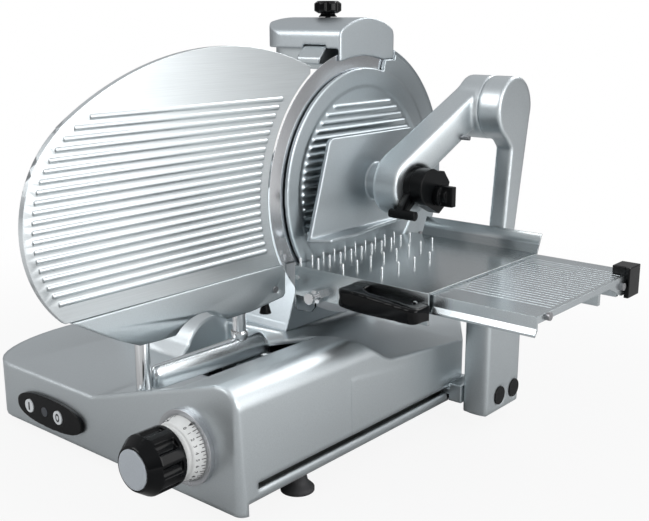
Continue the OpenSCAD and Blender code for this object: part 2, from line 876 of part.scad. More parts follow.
module cap_plan(inset) {
  round_r = cap_w * 0.36;
  polygon(concat(
    arc(cap_x0 + round_r, cap_y0 + round_r, round_r - inset, 270, 180, arc_steps),
    arc(cap_x0 + round_r, cap_y1 - round_r, round_r - inset, 180, 90, arc_steps),
    [[cap_x1 - inset, cap_y1 - inset]], [[cap_x1 - inset, cap_y0 + inset]]
  ));
}

module sharpener_cover() {
  color("silver") stand() difference() {
    union() {
      intersection() {
        side_prism(cap_x0, cap_x1) cap_outline(0, cap_foot_z);
        plan_prism(0, cap_top + over) cap_plan(0);
        front_prism(cap_y0 - over, cap_y1 + over) cap_profile(0);
      }
      // Front face with its concave lower edge
      difference() {
        side_prism(cap_x1 - cap_wall, cap_x1) cap_outline(0, cap_face_z);
        x_rod(cap_x1 - cap_wall - over, cap_x1 + over, cap_rim_r, 0, 0, $fn = 128);
      }
    }
    intersection() {
      side_prism(cap_x0 + cap_wall, cap_x1 - cap_wall) cap_outline(cap_wall, cap_foot_z - over);
      plan_prism(0, cap_top) cap_plan(cap_wall);
      front_prism(cap_y0, cap_y1) cap_profile(cap_wall);
    }
    // Window for the truing finger
    block(finger_x0 - free_gap * 2, finger_x1 + free_gap * 2, cap_y0 - over, cap_y0 + cap_wall + over,
      0, cap_foot_z + cap_wall * 1.2 + free_gap * 2);
    z_rod(cap_top - cap_wall - over * 2, cap_top + over, cap_stem_r + free_gap, post_x, post_y);
  }
}

stone_r = 10;
stone_t = 7;
stone_z = cap_top - cap_wall - stone_r * 1.7;
stone_ys = [cap_y0 + cap_w * 0.24, cap_y1 - cap_w * 0.24];
module sharpener_stones() {
  color("tan") stand() for (y = stone_ys) union() {
    x_rod(cap_x1 - cap_wall - stone_t * 2, cap_x1 - cap_wall - stone_t, stone_r, y, stone_z);
    x_rod(cap_x1 - cap_wall - stone_t * 3, cap_x1 - cap_wall, stone_r / 3, y, stone_z);
  }
}

cap_stem_r = 4;
cap_knob_h = 16;
cap_neck_h = 5;
cap_knob_z = cap_top + cap_neck_h;
cap_knob_lobes = 7;
module sharpener_knob() {
  edge_h = cap_knob_h * 0.2;
  color("black") stand() translate([post_x, post_y, 0]) union() {
    difference() {
      translate([0, 0, cap_knob_z]) union() {
        cylinder(h = edge_h, r1 = cap_knob_r * 0.7, r2 = cap_knob_r);
        translate([0, 0, edge_h]) cylinder(h = cap_knob_h - edge_h * 2, r = cap_knob_r);
        translate([0, 0, cap_knob_h - edge_h]) cylinder(h = edge_h, r1 = cap_knob_r, r2 = cap_knob_r * 0.75);
      }
      for (i = [0:cap_knob_lobes - 1]) rotate([0, 0, 360 * i / cap_knob_lobes])
        translate([cap_knob_r * 1.08, 0, cap_knob_z - over])
          cylinder(h = cap_knob_h + over * 2, r = cap_knob_r * 0.24);
    }
    translate([0, 0, cap_top + free_gap])
      cylinder(h = cap_knob_z - cap_top - free_gap + over, r1 = cap_knob_r * 0.7, r2 = cap_knob_r * 0.45);
    // The stem guides the cover in the post over its whole lift
    translate([0, 0, cap_top - cap_wall * 2 - cap_lift])
      cylinder(h = cap_wall * 3 + cap_lift, r = cap_stem_r * 0.8);
  }
}

// Gauge plate group

gauge_edge_r = blade_r + gauge_gap;
gauge_small_y = -gauge_reach + gauge_small_r;
gauge_big_z = gauge_top - gauge_big_r;

module gauge_outline() {
  difference() {
    intersection() {
      union() {
        translate([gauge_small_y, gauge_small_z]) circle(r = gauge_small_r, $fn = 128);
        intersection() {
          translate([gauge_big_y, gauge_big_z]) circle(r = gauge_big_r, $fn = 256);
          translate([gauge_split_y, -gauge_drop]) square([-gauge_split_y, gauge_drop + gauge_top]);
        }
      }
      translate([-gauge_reach, -gauge_drop]) square([gauge_reach, gauge_drop + gauge_top]);
    }
    circle(r = gauge_edge_r, $fn = 256);
    translate([-gauge_edge_r * 0.56, 0]) square([gauge_edge_r, gauge_top + over]);
  }
}

// Where a rib ends at the far rim, for its height
function rib_far_y(z) =
  let (dz = z - gauge_small_z, small = gauge_small_r - rib_r * 3)
  abs(dz) < small ? max(gauge_small_y - sqrt(small * small - dz * dz), -gauge_reach)
    : gauge_big_y - sqrt(pow(gauge_big_r - rib_r * 3, 2) - pow(z - gauge_big_z, 2));

module gauge_rib(z) {
  near_r = gauge_edge_r + rib_r * 4.5;
  near_y = -sqrt(near_r * near_r - z * z);
  y_rod(rib_far_y(z), near_y, rib_r, -rib_r / 2, z);
  translate([-rib_r / 2, near_y, z]) sphere(r = rib_r, $fn = 24);
}

module gauge_plate() {
  rib_low_z = -gauge_drop + rib_pitch * 2.25;
  color("silver") stand() union() {
    side_prism(-gauge_t, 0) gauge_outline();
    for (i = [0:rib_count - 1]) gauge_rib(rib_low_z + i * rib_pitch);
  }
}

beam_x1 = 2;
beam_x0 = beam_x1 - beam_t;
beam_top = -gauge_drop - beam_seam;
beam_shares = [[0.908, 0.01], [0.86, 0.3], [0.8, 0.68], [0.745, 0.95], [0.69, 0.98]];
beam_h = 48;

module beam_outline() {
  scallop_r = beam_h * 1.15;
  scallop_y = (leg_front_y + leg_back_y) / 2 - beam_h * 0.1;
  difference() {
    polygon(concat(
      [for (p = beam_shares) [-gauge_reach * p[0], beam_top - beam_h * p[1]]],
      [[leg_back_y, beam_top - beam_h * 0.98], [-gauge_edge_r * 0.872, beam_top - beam_h * 0.86],
       [-gauge_edge_r * 0.85, beam_top - beam_h * 0.78], [-gauge_edge_r * 0.85, beam_top]]
    ));
    translate([scallop_y, beam_top - beam_h * 1.78]) circle(r = scallop_r);
  }
}

module gauge_beam() {
  color("silver") stand() difference() {
    side_prism(beam_x0, beam_x1) beam_outline();
    for (y = [leg_front_y, leg_back_y])
      z_rod(beam_top - beam_h - over, beam_top - beam_h * 0.45, leg_r, leg_x, y);
    x_rod(beam_x1 - beam_t / 3, beam_x1 + over, gauge_screw_r, gauge_screw_y, beam_top - beam_h * 0.6);
    z_rod(beam_top - beam_h - over, beam_top - beam_h * 0.4, lock_stem_r, leg_x, lock_y);
    // The tip end is clear of the blade
    x_rod(beam_x0 - over, beam_x1 + over, gauge_edge_r * 0.995, 0, 0, $fn = 128);
  }
}

gauge_screw_r = 2.5;
gauge_screw_y = -gauge_edge_r * 0.95;
module gauge_screws() {
  color("dimgray") stand() union() {
    x_rod(beam_x1 - beam_t / 3, beam_x1, gauge_screw_r, gauge_screw_y, beam_top - beam_h * 0.6);
    x_rod(beam_x1, beam_x1 + gauge_screw_r / 2, gauge_screw_r * 1.7, gauge_screw_y, beam_top - beam_h * 0.6);
  }
}

lock_stem_r = 2.5;
lock_y = -gauge_edge_r * 0.925;
lock_knob_h = 14;
lock_hang = 7;
module gauge_lock_knob() {
  low = beam_top - beam_h * 0.9 - lock_hang;
  color("black") stand() translate([leg_x, lock_y, 0]) union() {
    translate([0, 0, low - lock_knob_h])
      cylinder(h = lock_knob_h, r1 = lock_knob_h * 0.55, r2 = lock_knob_h * 0.28);
    translate([0, 0, low - over]) cylinder(h = beam_h * 0.35 + lock_hang, r = lock_stem_r - run_gap);
  }
}

module gauge_legs() {
  color("lightgray") stand() {
    z_rod(-leg_foot_drop, beam_top - beam_h * 0.45, leg_r, leg_x, leg_front_y);
    z_rod(-arm_low_drop, beam_top - beam_h * 0.45, leg_r, leg_x, leg_back_y);
    z_rod(-arm_top_drop, -arm_top_drop + leg_r, leg_r * 1.25, leg_x, leg_back_y);
  }
}

module gauge_arm() {
  mid_z = -(arm_top_drop + arm_low_drop) / 2;
  front_y = leg_front_y + leg_r + arm_half_t * 0.1;
  foot_x0 = leg_x - arm_half_t + free_gap;
  foot_x1 = leg_x + arm_half_t * 0.6;
  color("silver") stand() difference() {
    union() {
      z_rod(-arm_low_drop, -arm_top_drop, arm_half_t, leg_x, arm_back_y - arm_half_t);
      z_rod(-arm_low_drop, -arm_top_drop, arm_half_t * 0.6, leg_x, front_y + arm_half_t * 0.6);
      plan_prism(-arm_low_drop, -arm_top_drop) polygon([
        [leg_x - arm_half_t * 0.6, front_y + arm_half_t * 0.6],
        [leg_x + arm_half_t * 0.6, front_y + arm_half_t * 0.6],
        [leg_x + arm_half_t, arm_back_y - arm_half_t], [leg_x - arm_half_t, arm_back_y - arm_half_t]
      ]);
      // Foot through the deck slot
      block(foot_x0, foot_x1, gauge_rod_y - gauge_rod_r * 1.7, arm_back_y - arm_half_t,
        -gauge_rod_drop - gauge_rod_r * 1.7, mid_z);
      // Tongue and follower that reach to the cam on the thickness shaft
      block(foot_x0, foot_x1, cam_y, gauge_rod_y - gauge_rod_r * 1.5,
        -gauge_rod_drop - gauge_rod_r * 1.2, -gauge_rod_drop + gauge_rod_r * 1.2);
      block(foot_x1 - over, dial_x - cam_r - free_gap, cam_y, cam_y + cam_t,
        -side_rod_drop + side_rod_r + free_gap * 2, -dial_drop + screw_r);
    }
    x_rod(leg_x - arm_half_t - over, leg_x + arm_half_t + over, gauge_rod_r + run_gap,
      gauge_rod_y, -gauge_rod_drop);
    z_rod(-arm_low_drop - over, -arm_top_drop + over, leg_r, leg_x, leg_back_y);
  }
}

module gauge_rod() {
  color("lightgray") stand()
    x_rod(kink_x - web_t, leg_x + arm_half_t * 2, gauge_rod_r, gauge_rod_y, -gauge_rod_drop);
}

module guide_rods() {
  color("lightgray") stand() {
    y_rod(web_front_y, web_back_y + web_t, rod_r, rod_x, -rod_drop);
    y_rod(web_front_y, web_back_y + web_t, side_rod_r, side_rod_x, -side_rod_drop);
  }
}

// Thickness dial

bezel_t = 6;
module dial_bezel() {
  color("lightgray") stand() difference() {
    y_rod(-base_front - bezel_t, -base_front, bezel_r, dial_x, -dial_drop);
    y_rod(-base_front - bezel_t - over, -base_front - bezel_t / 2, dial_r + free_gap, dial_x, -dial_drop);
    y_rod(-base_front - over * 4, -base_front + over, screw_r + free_gap, dial_x, -dial_drop);
  }
}

dial_y1 = -base_front - bezel_t / 2 - free_gap;
dial_y0 = dial_y1 - dial_len;
module dial_ring() {
  color("whitesmoke") stand() translate([dial_x, dial_y1, -dial_drop]) rotate([90, 0, 0]) difference() {
    union() {
      cylinder(h = dial_len * 0.1, r = dial_r);
      translate([0, 0, dial_len * 0.1]) cylinder(h = dial_len * 0.55, r1 = dial_r, r2 = knob_r * 0.95);
      translate([0, 0, dial_len * 0.65 - over]) cylinder(h = dial_len * 0.35 + over, r = knob_r * 0.88);
    }
    translate([0, 0, -over]) cylinder(h = dial_len + over * 2, r = screw_r + seat_gap);
  }
}

knob_y1 = dial_y0;
knob_y0 = knob_y1 - knob_len;
cap_inset = 3;
module thickness_knob() {
  color("black") stand() translate([dial_x, knob_y1, -dial_drop]) rotate([90, 0, 0]) difference() {
    union() {
      cylinder(h = knob_len * 0.7, r = knob_r);
      translate([0, 0, knob_len * 0.7]) cylinder(h = knob_len * 0.3, r1 = knob_r, r2 = knob_r * 0.72);
    }
    for (a = [0:45:315]) rotate([0, 0, a]) translate([knob_r * 1.08, 0, knob_len * 0.1])
      cylinder(h = knob_len * 0.6, r = knob_r * 0.22);
    translate([0, 0, -over]) cylinder(h = knob_len * 0.6, r = screw_r + seat_gap);
    translate([0, 0, knob_len - cap_inset]) cylinder(h = cap_inset + over, r = knob_r * 0.65 + seat_gap);
  }
}

module knob_cap() {
  color("lightgray") stand()
    y_rod(knob_y0 - cap_inset * 0.2, knob_y0 + cap_inset, knob_r * 0.65, dial_x, -dial_drop);
}

cam_t = 8;
cam_r = 18;
cam_lead = 22;
cam_y = web_front_y + web_t + cam_lead;
module thickness_shaft() {
  color("silver") stand() union() {
    y_rod(knob_y1 - knob_len * 0.6 + over, cam_y, screw_r, dial_x, -dial_drop);
    y_rod(cam_y, cam_y + cam_t, cam_r, dial_x, -dial_drop);
  }
}

// Switches

lens_power = 0.82;
module lens_outline(len, h) {
  steps = arc_steps * 6;
  polygon([for (i = [0:steps - 1]) let (a = 360 * i / steps, c = cos(a), s = sin(a))
    [len / 2 * sign(c) * pow(abs(c), lens_power), h / 2 * sign(s) * pow(abs(s), lens_power)]]);
}

module switch_panel() {
  color("black") stand() difference() {
    front_prism(-base_front - panel_t, -base_front) translate([panel_x, -panel_drop])
      lens_outline(panel_len, panel_h);
    for (x = [start_x, stop_x])
      y_rod(-base_front - panel_t - over, -base_front + over, button_r + free_gap, x, -panel_drop);
    y_rod(-base_front - panel_t - over, -base_front + over, lamp_r, lamp_x, -panel_drop);
  }
}

module push_button(x) {
  y_rod(-base_front - panel_t - over, -base_front - button_travel - free_gap, button_r, x, -panel_drop);
  y_rod(-base_front - panel_t, -base_front + wall * 1.6, button_r / 2, x, -panel_drop);
}

module start_button() {
  color("white") stand() union() push_button(start_x);
}

module stop_button() {
  color("white") stand() union() push_button(stop_x);
}

module pilot_lamp() {
  color("gray") stand() union() {
    y_rod(-base_front - panel_t - over / 2, -base_front, lamp_r, lamp_x, -panel_drop);
    y_rod(-base_front - over, -base_front + wall, button_r / 2 + free_gap, lamp_x, -panel_drop);
  }
}

// Carriage

module carriage_slide() {
  plate_z0 = -slot_drop - slot_h + free_gap;
  plate_z1 = -slot_drop - free_gap;
  color("gray") stand() difference() {
    union() {
      block(rod_x - rod_r * 1.5, rod_x + rod_r * 1.35, slide_front_y, slide_back_y,
        plate_z0, -rod_drop + rod_r * 1.4);
      block(side_rod_x - side_rod_r * 1.6, rod_x, slide_front_y, slide_back_y,
        plate_z0, -side_rod_drop + side_rod_r * 1.5);
      block(rod_x, post_left, slide_front_y, slide_back_y, plate_z0, plate_z1);
      // Thick end outside the wall, seated on the post
      block(base_right + post_gap * 0.2, post_left, slide_front_y, slide_back_y,
        plate_z0 - slot_h, plate_z1 + slot_h);
    }
    y_rod(slide_front_y - over, slide_back_y + over, rod_r + run_gap, rod_x, -rod_drop);
    y_rod(slide_front_y - over, slide_back_y + over, side_rod_r + run_gap, side_rod_x, -side_rod_drop);
  }
}

plug_r = 12;
plug_ys = [post_front_y + post_d * 0.42, post_front_y + post_d * 0.85];
plug_drop = post_foot_drop - plug_r * 1.7;
plug_depth = 3;

module carriage_post() {
  head_top = -head_plate_top_drop;
  head_low = head_top - head_plate_t;
  color("silver") stand() difference() {
    union() {
      intersection() {
        block(post_left, post_right, post_front_y, post_back_y, -post_foot_drop, head_top);
        z_rod(-post_foot_drop, head_top, post_d * 0.98, (post_left + post_right) / 2,
          post_front_y + post_d * 0.98);
      }
      block(pad_left, post_right, post_front_y + post_w * 0.5, post_back_y, head_low, head_top);
      block(pad_left, pad_right, post_front_y - post_w, post_back_y, head_low, -table_drop - sheet_t);
      block(pad_left, feed_left + web_t, post_back_y - over, feed_y - feed_lug_r, head_low, head_top);
    }
    for (y = plug_ys) x_rod(post_right - plug_depth, post_right + over, plug_r, y, -plug_drop);
  }
}

module post_plugs() {
  color("black") stand() for (y = plug_ys)
    x_rod(post_right - plug_depth, post_right + plug_depth / 6, plug_r, y, -plug_drop);
}

module flange_hole(r, x, drop) {
  y_rod(-table_front - over, -table_front + sheet_t + over, r, x, -drop);
}

module product_table() {
  color("silver") stand() difference() {
    union() {
      block(table_left, table_right, -table_front, table_back, -table_drop - sheet_t, -table_drop);
      block(table_left, table_right, -table_front, -table_front + sheet_t,
        -table_drop - flange_h, -table_drop);
      side_prism(table_left + flange_h / 2, table_right) polygon([
        [table_back - sheet_t, -table_drop - sheet_t], [table_back, -table_drop - sheet_t],
        [table_back + back_flange_lean + sheet_t, -table_drop + back_flange_h],
        [table_back + back_flange_lean, -table_drop + back_flange_h]
      ]);
    }
    flange_hole(latch_stem_r + run_gap, latch_x, latch_drop);
    for (x = rivet_xs) flange_hole(rivet_r, x, rivet_drop);
    for (p = handle_screws) flange_hole(rivet_r, p[0], p[1]);
  }
}

pin_row_shares = [0.015, 0.105, 0.32, 0.54];
pin_row_counts = [10, 10, 8, 4];
pin_row_pitch_shares = [0.155, 0.155, 0.195, 0.24];
pin_row_start_shares = [0.96, 0.87, 0.9, 0.76];

module grip_pins() {
  color("whitesmoke") stand() for (row = [0:3], i = [0:pin_row_counts[row] - 1])
    translate([table_left + table_w * pin_row_shares[row] + pin_r,
      -table_front * (pin_row_start_shares[row] - pin_row_pitch_shares[row] * i), -table_drop]) union() {
        cylinder(h = pin_h * 0.75, r = pin_r, $fn = 16);
        translate([0, 0, pin_h * 0.75]) cylinder(h = pin_h * 0.25, r1 = pin_r, r2 = pin_r * 0.2, $fn = 16);
      }
}

rivet_r = 2;
rivet_xs = [table_left + rivet_r * 2.2, table_right - rivet_r * 9];
rivet_drop = table_drop + flange_h * 0.4;
module table_rivets() {
  color("gainsboro") stand() for (x = rivet_xs) union() {
    y_rod(-table_front, -table_front + sheet_t, rivet_r, x, -rivet_drop);
    y_rod(-table_front - rivet_r / 2, -table_front, rivet_r * 1.5, x, -rivet_drop);
  }
}

handle_t = 15;
handle_reach = 38;
handle_turn = 8;
handle_h = 25;
handle_end_h = 18;
handle_arm_w = 24;
handle_x0 = table_left + table_w * 0.48;
handle_x1 = table_left + table_w * 1.01;
handle_fall = 9;
handle_seat = 2;
handle_drop = table_drop + sheet_t + handle_seat;
handle_screws = [[handle_x0 + handle_t / 2, handle_drop + handle_h / 2],
  [handle_x1 - handle_t / 2, handle_drop + handle_fall + handle_end_h / 2]];
module table_handle() {
  front_y = -table_front - handle_reach;
  end_y = front_y + handle_turn;
  round_r = handle_t * 0.6;
  color("black") stand() union() {
    intersection() {
      // A wide arm at the left, and a grip that comes nearer to the flange at its right end
      plan_prism(-table_drop - flange_h * 1.5, -table_drop) polygon(concat(
        [[handle_x0, -table_front]],
        arc(handle_x0 + round_r, front_y + round_r, round_r, 180, 260, arc_steps),
        arc(handle_x1 - round_r, end_y + round_r, round_r, 280, 360, arc_steps),
        [[handle_x1, -table_front], [handle_x1 - handle_t, -table_front],
         [handle_x1 - handle_t, end_y + handle_t * 1.2],
         [handle_x1 - handle_t * 1.4, end_y + handle_t],
         [handle_x0 + handle_arm_w * 1.5, front_y + handle_t * 1.2],
         [handle_x0 + handle_arm_w, front_y + handle_t * 1.6], [handle_x0 + handle_arm_w, -table_front]]
      ));
      // The grip grows lower to the right, and its left end has a notch
      front_prism(front_y - over, -table_front) polygon([
        [handle_x0, -handle_drop], [handle_x0 + handle_arm_w, -handle_drop],
        [handle_x1, -handle_drop - handle_fall], [handle_x1, -handle_drop - handle_fall - handle_end_h],
        [handle_x0 + handle_arm_w * 1.2, -handle_drop - handle_h],
        [handle_x0, -handle_drop - handle_h * 0.85], [handle_x0, -handle_drop - handle_h * 0.6],
        [handle_x0 + handle_t * 0.4, -handle_drop - handle_h * 0.4],
        [handle_x0, -handle_drop - handle_h * 0.2]
      ]);
    }
    for (p = handle_screws) y_rod(-table_front - over, -table_front + sheet_t, rivet_r, p[0], -p[1]);
  }
}

latch_x = table_left + table_w * 0.205;
latch_drop = table_drop + flange_h * 0.83;
latch_stem_r = 3.5;
latch_nut_r = 9;
latch_nut_t = 9;
module latch_nut() {
  color("lightgray") stand() difference() {
    translate([latch_x, -table_front - latch_nut_t, -latch_drop]) rotate([-90, 0, 0])
      cylinder(h = latch_nut_t, r = latch_nut_r, $fn = 6);
    y_rod(-table_front - latch_nut_t - over, -table_front + over,
      latch_stem_r + run_gap, latch_x, -latch_drop);
  }
}

module latch_pin() {
  knob_y = -table_front - latch_nut_t - latch_nut_r;
  color("whitesmoke") stand() union() {
    y_rod(knob_y, -table_front + sheet_t / 2 + latch_travel, latch_stem_r, latch_x, -latch_drop);
    y_rod(knob_y - latch_nut_r * 0.45, knob_y, latch_nut_r * 0.8, latch_x, -latch_drop);
  }
}

guard_plate_t = 3;
module hand_guard() {
  color("lightblue") stand()
    translate([table_left, -table_front + sheet_t + guard_plate_t, -table_drop - flange_h])
    rotate([90, 0, 0]) linear_extrude(guard_plate_t) polygon([
      [-table_gap * 0.3, flange_h * 0.5], [-table_gap * 0.3, -flange_h * 0.4], [0, -flange_h * 0.55],
      [table_w * 0.12, -flange_h * 0.5], [table_w * 0.15, -flange_h * 0.3], [table_w * 0.15, flange_h * 0.5]
    ]);
}

tray_t = 2.5;
tray_rib_r = 1;
tray_ribs = 22;
rail_h = 13;
lip_h = 9;
runner_w = 6;
runner_ys = [post_front_y + post_w * 0.6, post_back_y - runner_w * 2];
module tray_extension() {
  tray_top = -tray_top_drop;
  color("silver") stand() difference() {
    union() {
      block(tray_x0, tray_end_x, -tray_front, tray_back, tray_top - tray_t, tray_top);
      block(tray_x0, tray_end_x, -tray_front, -tray_front + tray_t, tray_top - rail_h, tray_top);
      side_prism(tray_x0, tray_end_x) polygon([
        [-tray_front, tray_top - rail_h], [-tray_front + tray_t, tray_top - rail_h],
        [-tray_front + tray_t, tray_top - rail_h - tray_t], [-tray_front - tray_t, tray_top - rail_h - lip_h],
        [-tray_front - tray_t, tray_top - rail_h - lip_h + tray_t]
      ]);
      block(tray_x0, tray_end_x, tray_back - tray_t, tray_back, tray_top - rail_h, tray_top);
      block(tray_end_x - tray_t, tray_end_x, -tray_front, tray_back, tray_top - rail_h * 0.6, tray_top);
      // Gusset beside the end cap
      side_prism(tray_end_x - tray_t, tray_end_x) polygon([
        [tray_back - cap_block_d * 2.4, tray_top - rail_h * 0.5], [tray_back, tray_top - rail_h * 0.5],
        [tray_back, tray_top - rail_h * 1.8], [tray_back - cap_block_d * 1.2, tray_top - rail_h * 1.8]
      ]);
      // Runners that slide on the head plate of the carriage
      for (y = runner_ys)
        block(tray_x0, tray_end_x - tray_t, y, y + runner_w,
          -head_plate_top_drop + free_gap, tray_top - tray_t / 2);
    }
    for (i = [0:tray_ribs - 1])
      x_rod(tray_x0 - over, tray_end_x - tray_t * 2, tray_rib_r,
        -tray_front * 0.7 + i * (tray_front * 0.66 + tray_back * 0.9) / tray_ribs,
        tray_top + tray_rib_r * 0.35);
  }
}

cap_block_d = 31;
module tray_end_cap() {
  color("black") stand() union() {
    block(tray_end_x, tray_end_x + end_cap_t, tray_back - cap_block_d, tray_back,
      -tray_top_drop - rail_h * 2.1, -tray_top_drop + rail_h * 0.8);
    block(tray_end_x - end_cap_t * 3, tray_end_x + over, tray_back - cap_block_d * 0.9, tray_back,
      -tray_top_drop, -tray_top_drop + rail_h * 0.8);
  }
}

tray_screw_r = 4.5;
tray_screw_places = [[-tray_front + tray_screw_r * 5, rail_h * 0.3],
  [tray_back - cap_block_d - tray_screw_r * 2, rail_h * 0.85]];
module tray_screws() {
  color("dimgray") stand() for (p = tray_screw_places)
    x_rod(tray_end_x, tray_end_x + end_cap_t * 0.7, tray_screw_r, p[0], -tray_top_drop - p[1]);
}

feed_lug_wall = 4;
feed_lug_r = feed_rod_r + feed_lug_wall;
module feed_bracket() {
  lug_t = web_t;
  beam_top_z = -feed_drop - feed_rod_r * 1.6;
  color("gray") stand() difference() {
    union() {
      block(feed_left, feed_right, feed_y - feed_lug_r, feed_y + feed_lug_r, beam_top_z - web_t, beam_top_z);
      for (x = [feed_left, feed_right - lug_t]) {
        block(x, x + lug_t, feed_y - feed_lug_r, feed_y + feed_lug_r, beam_top_z - over, -feed_drop);
        x_rod(x, x + lug_t, feed_lug_r, feed_y, -feed_drop);
      }
    }
    x_rod(feed_left - over, feed_right + over, feed_rod_r + seat_gap, feed_y, -feed_drop);
  }
}

module feed_rod() {
  color("lightgray") stand() x_rod(feed_left, feed_right, feed_rod_r, feed_y, -feed_drop);
}

// Meat press

leg_lead = 17;
leg_front = feed_y - leg_lead;
leg_depth = 28;
module press_upright() {
  color("silver") stand() difference() {
    union() {
      x_rod(head_x, upright_right, head_r, pivot_y, pivot_z);
      side_prism(upright_right - upright_w, upright_right) polygon([
        [leg_front, -feed_drop], [leg_front + leg_depth, -feed_drop],
        [pivot_y + head_r * 0.97, pivot_z - head_r * 0.2], [pivot_y - head_r * 0.75, pivot_z - head_r * 0.6],
        [pivot_y - head_r * 0.12, pivot_z - head_r * 1.25]
      ]);
      block(upright_right - upright_w * 1.3, upright_right + upright_w * 0.3,
        feed_y - feed_rod_r * 1.3, feed_y + feed_rod_r * 1.3,
        -feed_drop - feed_rod_r * 1.4, -feed_drop + feed_rod_r * 1.5);
    }
    x_rod(upright_right - upright_w * 2, upright_right + upright_w, feed_rod_r + run_gap, feed_y, -feed_drop);
    x_rod(head_x - over, upright_right - wall, pivot_r, pivot_y, pivot_z);
  }
}

module pivot_shaft() {
  color("lightgray") stand() x_rod(arm_left + wall, upright_right - wall, pivot_r, pivot_y, pivot_z);
}

arm_dir = atan2(pivot_z - hub_z, pivot_y - hub_y);
arm_bar_r = 22;
arm_off = hub_r - arm_bar_r;
module press_arm() {
  off_y = -arm_off * sin(arm_dir);
  off_z = arm_off * cos(arm_dir);
  color("silver") stand() difference() {
    union() {
      x_rod(hub_left, hub_right, hub_r, hub_y, hub_z);
      x_rod(arm_left, arm_right, head_r, pivot_y, pivot_z);
      hull() {
        x_rod(hub_left, hub_right, arm_bar_r, hub_y + off_y, hub_z + off_z, $fn = 32);
        x_rod(arm_left, arm_right - wall, arm_bar_r, pivot_y + off_y * 0.9, pivot_z + off_z * 0.9, $fn = 32);
      }
    }
    x_rod(hub_left - over, hub_right + over, stem_r + run_gap, hub_y, hub_z);
    // Spot face for the clamp
    x_rod(hub_right, arm_right + over, clamp_r * 1.1, hub_y, hub_z);
    x_rod(arm_left + wall, arm_right + over, pivot_r + run_gap, pivot_y, pivot_z);
    x_rod(hub_right + arm_bar_r / 3, arm_right + over, stop_r, stop_y, stop_z);
  }
}

stop_r = 3;
stop_y = (hub_y * 0.4 + pivot_y * 0.6);
stop_z = (hub_z * 0.4 + pivot_z * 0.6);
stop_x0 = hub_right + arm_bar_r / 3;
module arm_stop_screw() {
  color("dimgray") stand() x_rod(stop_x0, arm_right - wall * 0.4, stop_r, stop_y, stop_z);
}

module press_plate() {
  low_z = -press_h * 0.45;
  top_z = low_z + press_h;
  back_x = press_x - press_t;
  ledge_w = 22;
  corner = press_h * 0.08;
  color("silver") stand() union() {
    side_prism(back_x, press_x) polygon(concat(
      [[-press_front, low_z], [press_back, low_z]],
      [[press_back, top_z - corner * 2], [press_back - corner * 2, top_z]],
      arc(-press_front * 0.72 + corner, top_z - corner, corner, 90, 175, arc_steps)
    ));
    plan_prism(low_z, low_z + press_t) polygon([
      [back_x, -press_front], [press_x + over, -press_front], [press_x + ledge_w, -press_front * 0.88],
      [press_x + ledge_w * 0.95, -press_front * 0.48], [press_x + ledge_w * 0.45, 0],
      [press_x + over, press_back], [back_x, press_back]
    ]);
    x_rod(press_x - over, hub_left - free_gap, collar_r, hub_y, hub_z);
    x_rod(press_x, hub_right + clamp_len * 0.55, stem_r, hub_y, hub_z);
  }
}

screw_y = hub_y + stem_r;
screw_z = hub_z - hub_r * 0.28;
sleeve_r = 19;
wing_r = 13;
bar_dir = -137.8;
module clamp_body() {
  color("black") stand() difference() {
    union() {
      x_rod(hub_right, hub_right + clamp_len, sleeve_r, hub_y, hub_z);
      x_rod(hub_right + lever_t + free_gap * 2, hub_right + clamp_len, clamp_r, hub_y, hub_z);
      side_prism(hub_right + lever_t + free_gap * 2, hub_right + clamp_len) polygon([
        [hub_y - clamp_r * 0.4, hub_z + clamp_r * 0.9], [hub_y + clamp_r * 1.2, hub_z + clamp_r * 0.75],
        [hub_y + clamp_r * 1.75, hub_z + clamp_r * 0.1], [hub_y + clamp_r * 1.3, hub_z - clamp_r * 1.2],
        [hub_y + clamp_r * 0.8, hub_z - clamp_r * 1.5], [hub_y - clamp_r * 0.6, hub_z - clamp_r * 0.8]
      ]);
    }
    x_rod(hub_right - over, hub_right + clamp_len * 0.6, stem_r + run_gap, hub_y, hub_z);
    x_rod(hub_right + clamp_len * 0.65, hub_right + clamp_len + over, screw_stem_r + run_gap,
      screw_y, screw_z);
  }
}

lever_t = 9;
screw_stem_r = 4;
bar_reach = hub_r + bar_r + over;
module clamp_lever() {
  color("black") stand() difference() {
    union() {
      x_rod(hub_right + free_gap, hub_right + lever_t + free_gap, clamp_r * 0.98, hub_y, hub_z);
      hull() {
        x_rod(hub_right + free_gap, hub_right + lever_t + free_gap, clamp_r * 0.5, hub_y, hub_z, $fn = 32);
        x_rod(hub_right + free_gap, hub_right + lever_t + free_gap, bar_r, hub_y + bar_reach * cos(bar_dir),
          hub_z + bar_reach * sin(bar_dir), $fn = 32);
      }
      x_rod(hub_right - bar_r * 1.6, hub_right + clamp_len, bar_r, hub_y + bar_reach * cos(bar_dir),
        hub_z + bar_reach * sin(bar_dir));
    }
    x_rod(hub_right - over, hub_right + lever_t + over, sleeve_r + run_gap, hub_y, hub_z);
  }
}

module wing_screw() {
  wing_x0 = hub_right + clamp_len + free_gap;
  color("black") stand() union() {
    x_rod(hub_right + clamp_len * 0.67, wing_x0 + over, screw_stem_r, screw_y, screw_z);
    x_rod(wing_x0, wing_x0 + wing_r * 0.6, wing_r, screw_y, screw_z);
    x_rod(wing_x0, wing_x0 + wing_r * 1.2, wing_r * 0.7, screw_y, screw_z);
    block(wing_x0 + over, wing_x0 + wing_r * 1.9, screw_y - wing_r * 0.35, screw_y + wing_r * 0.35,
      screw_z - wing_r, screw_z + wing_r);
  }
}

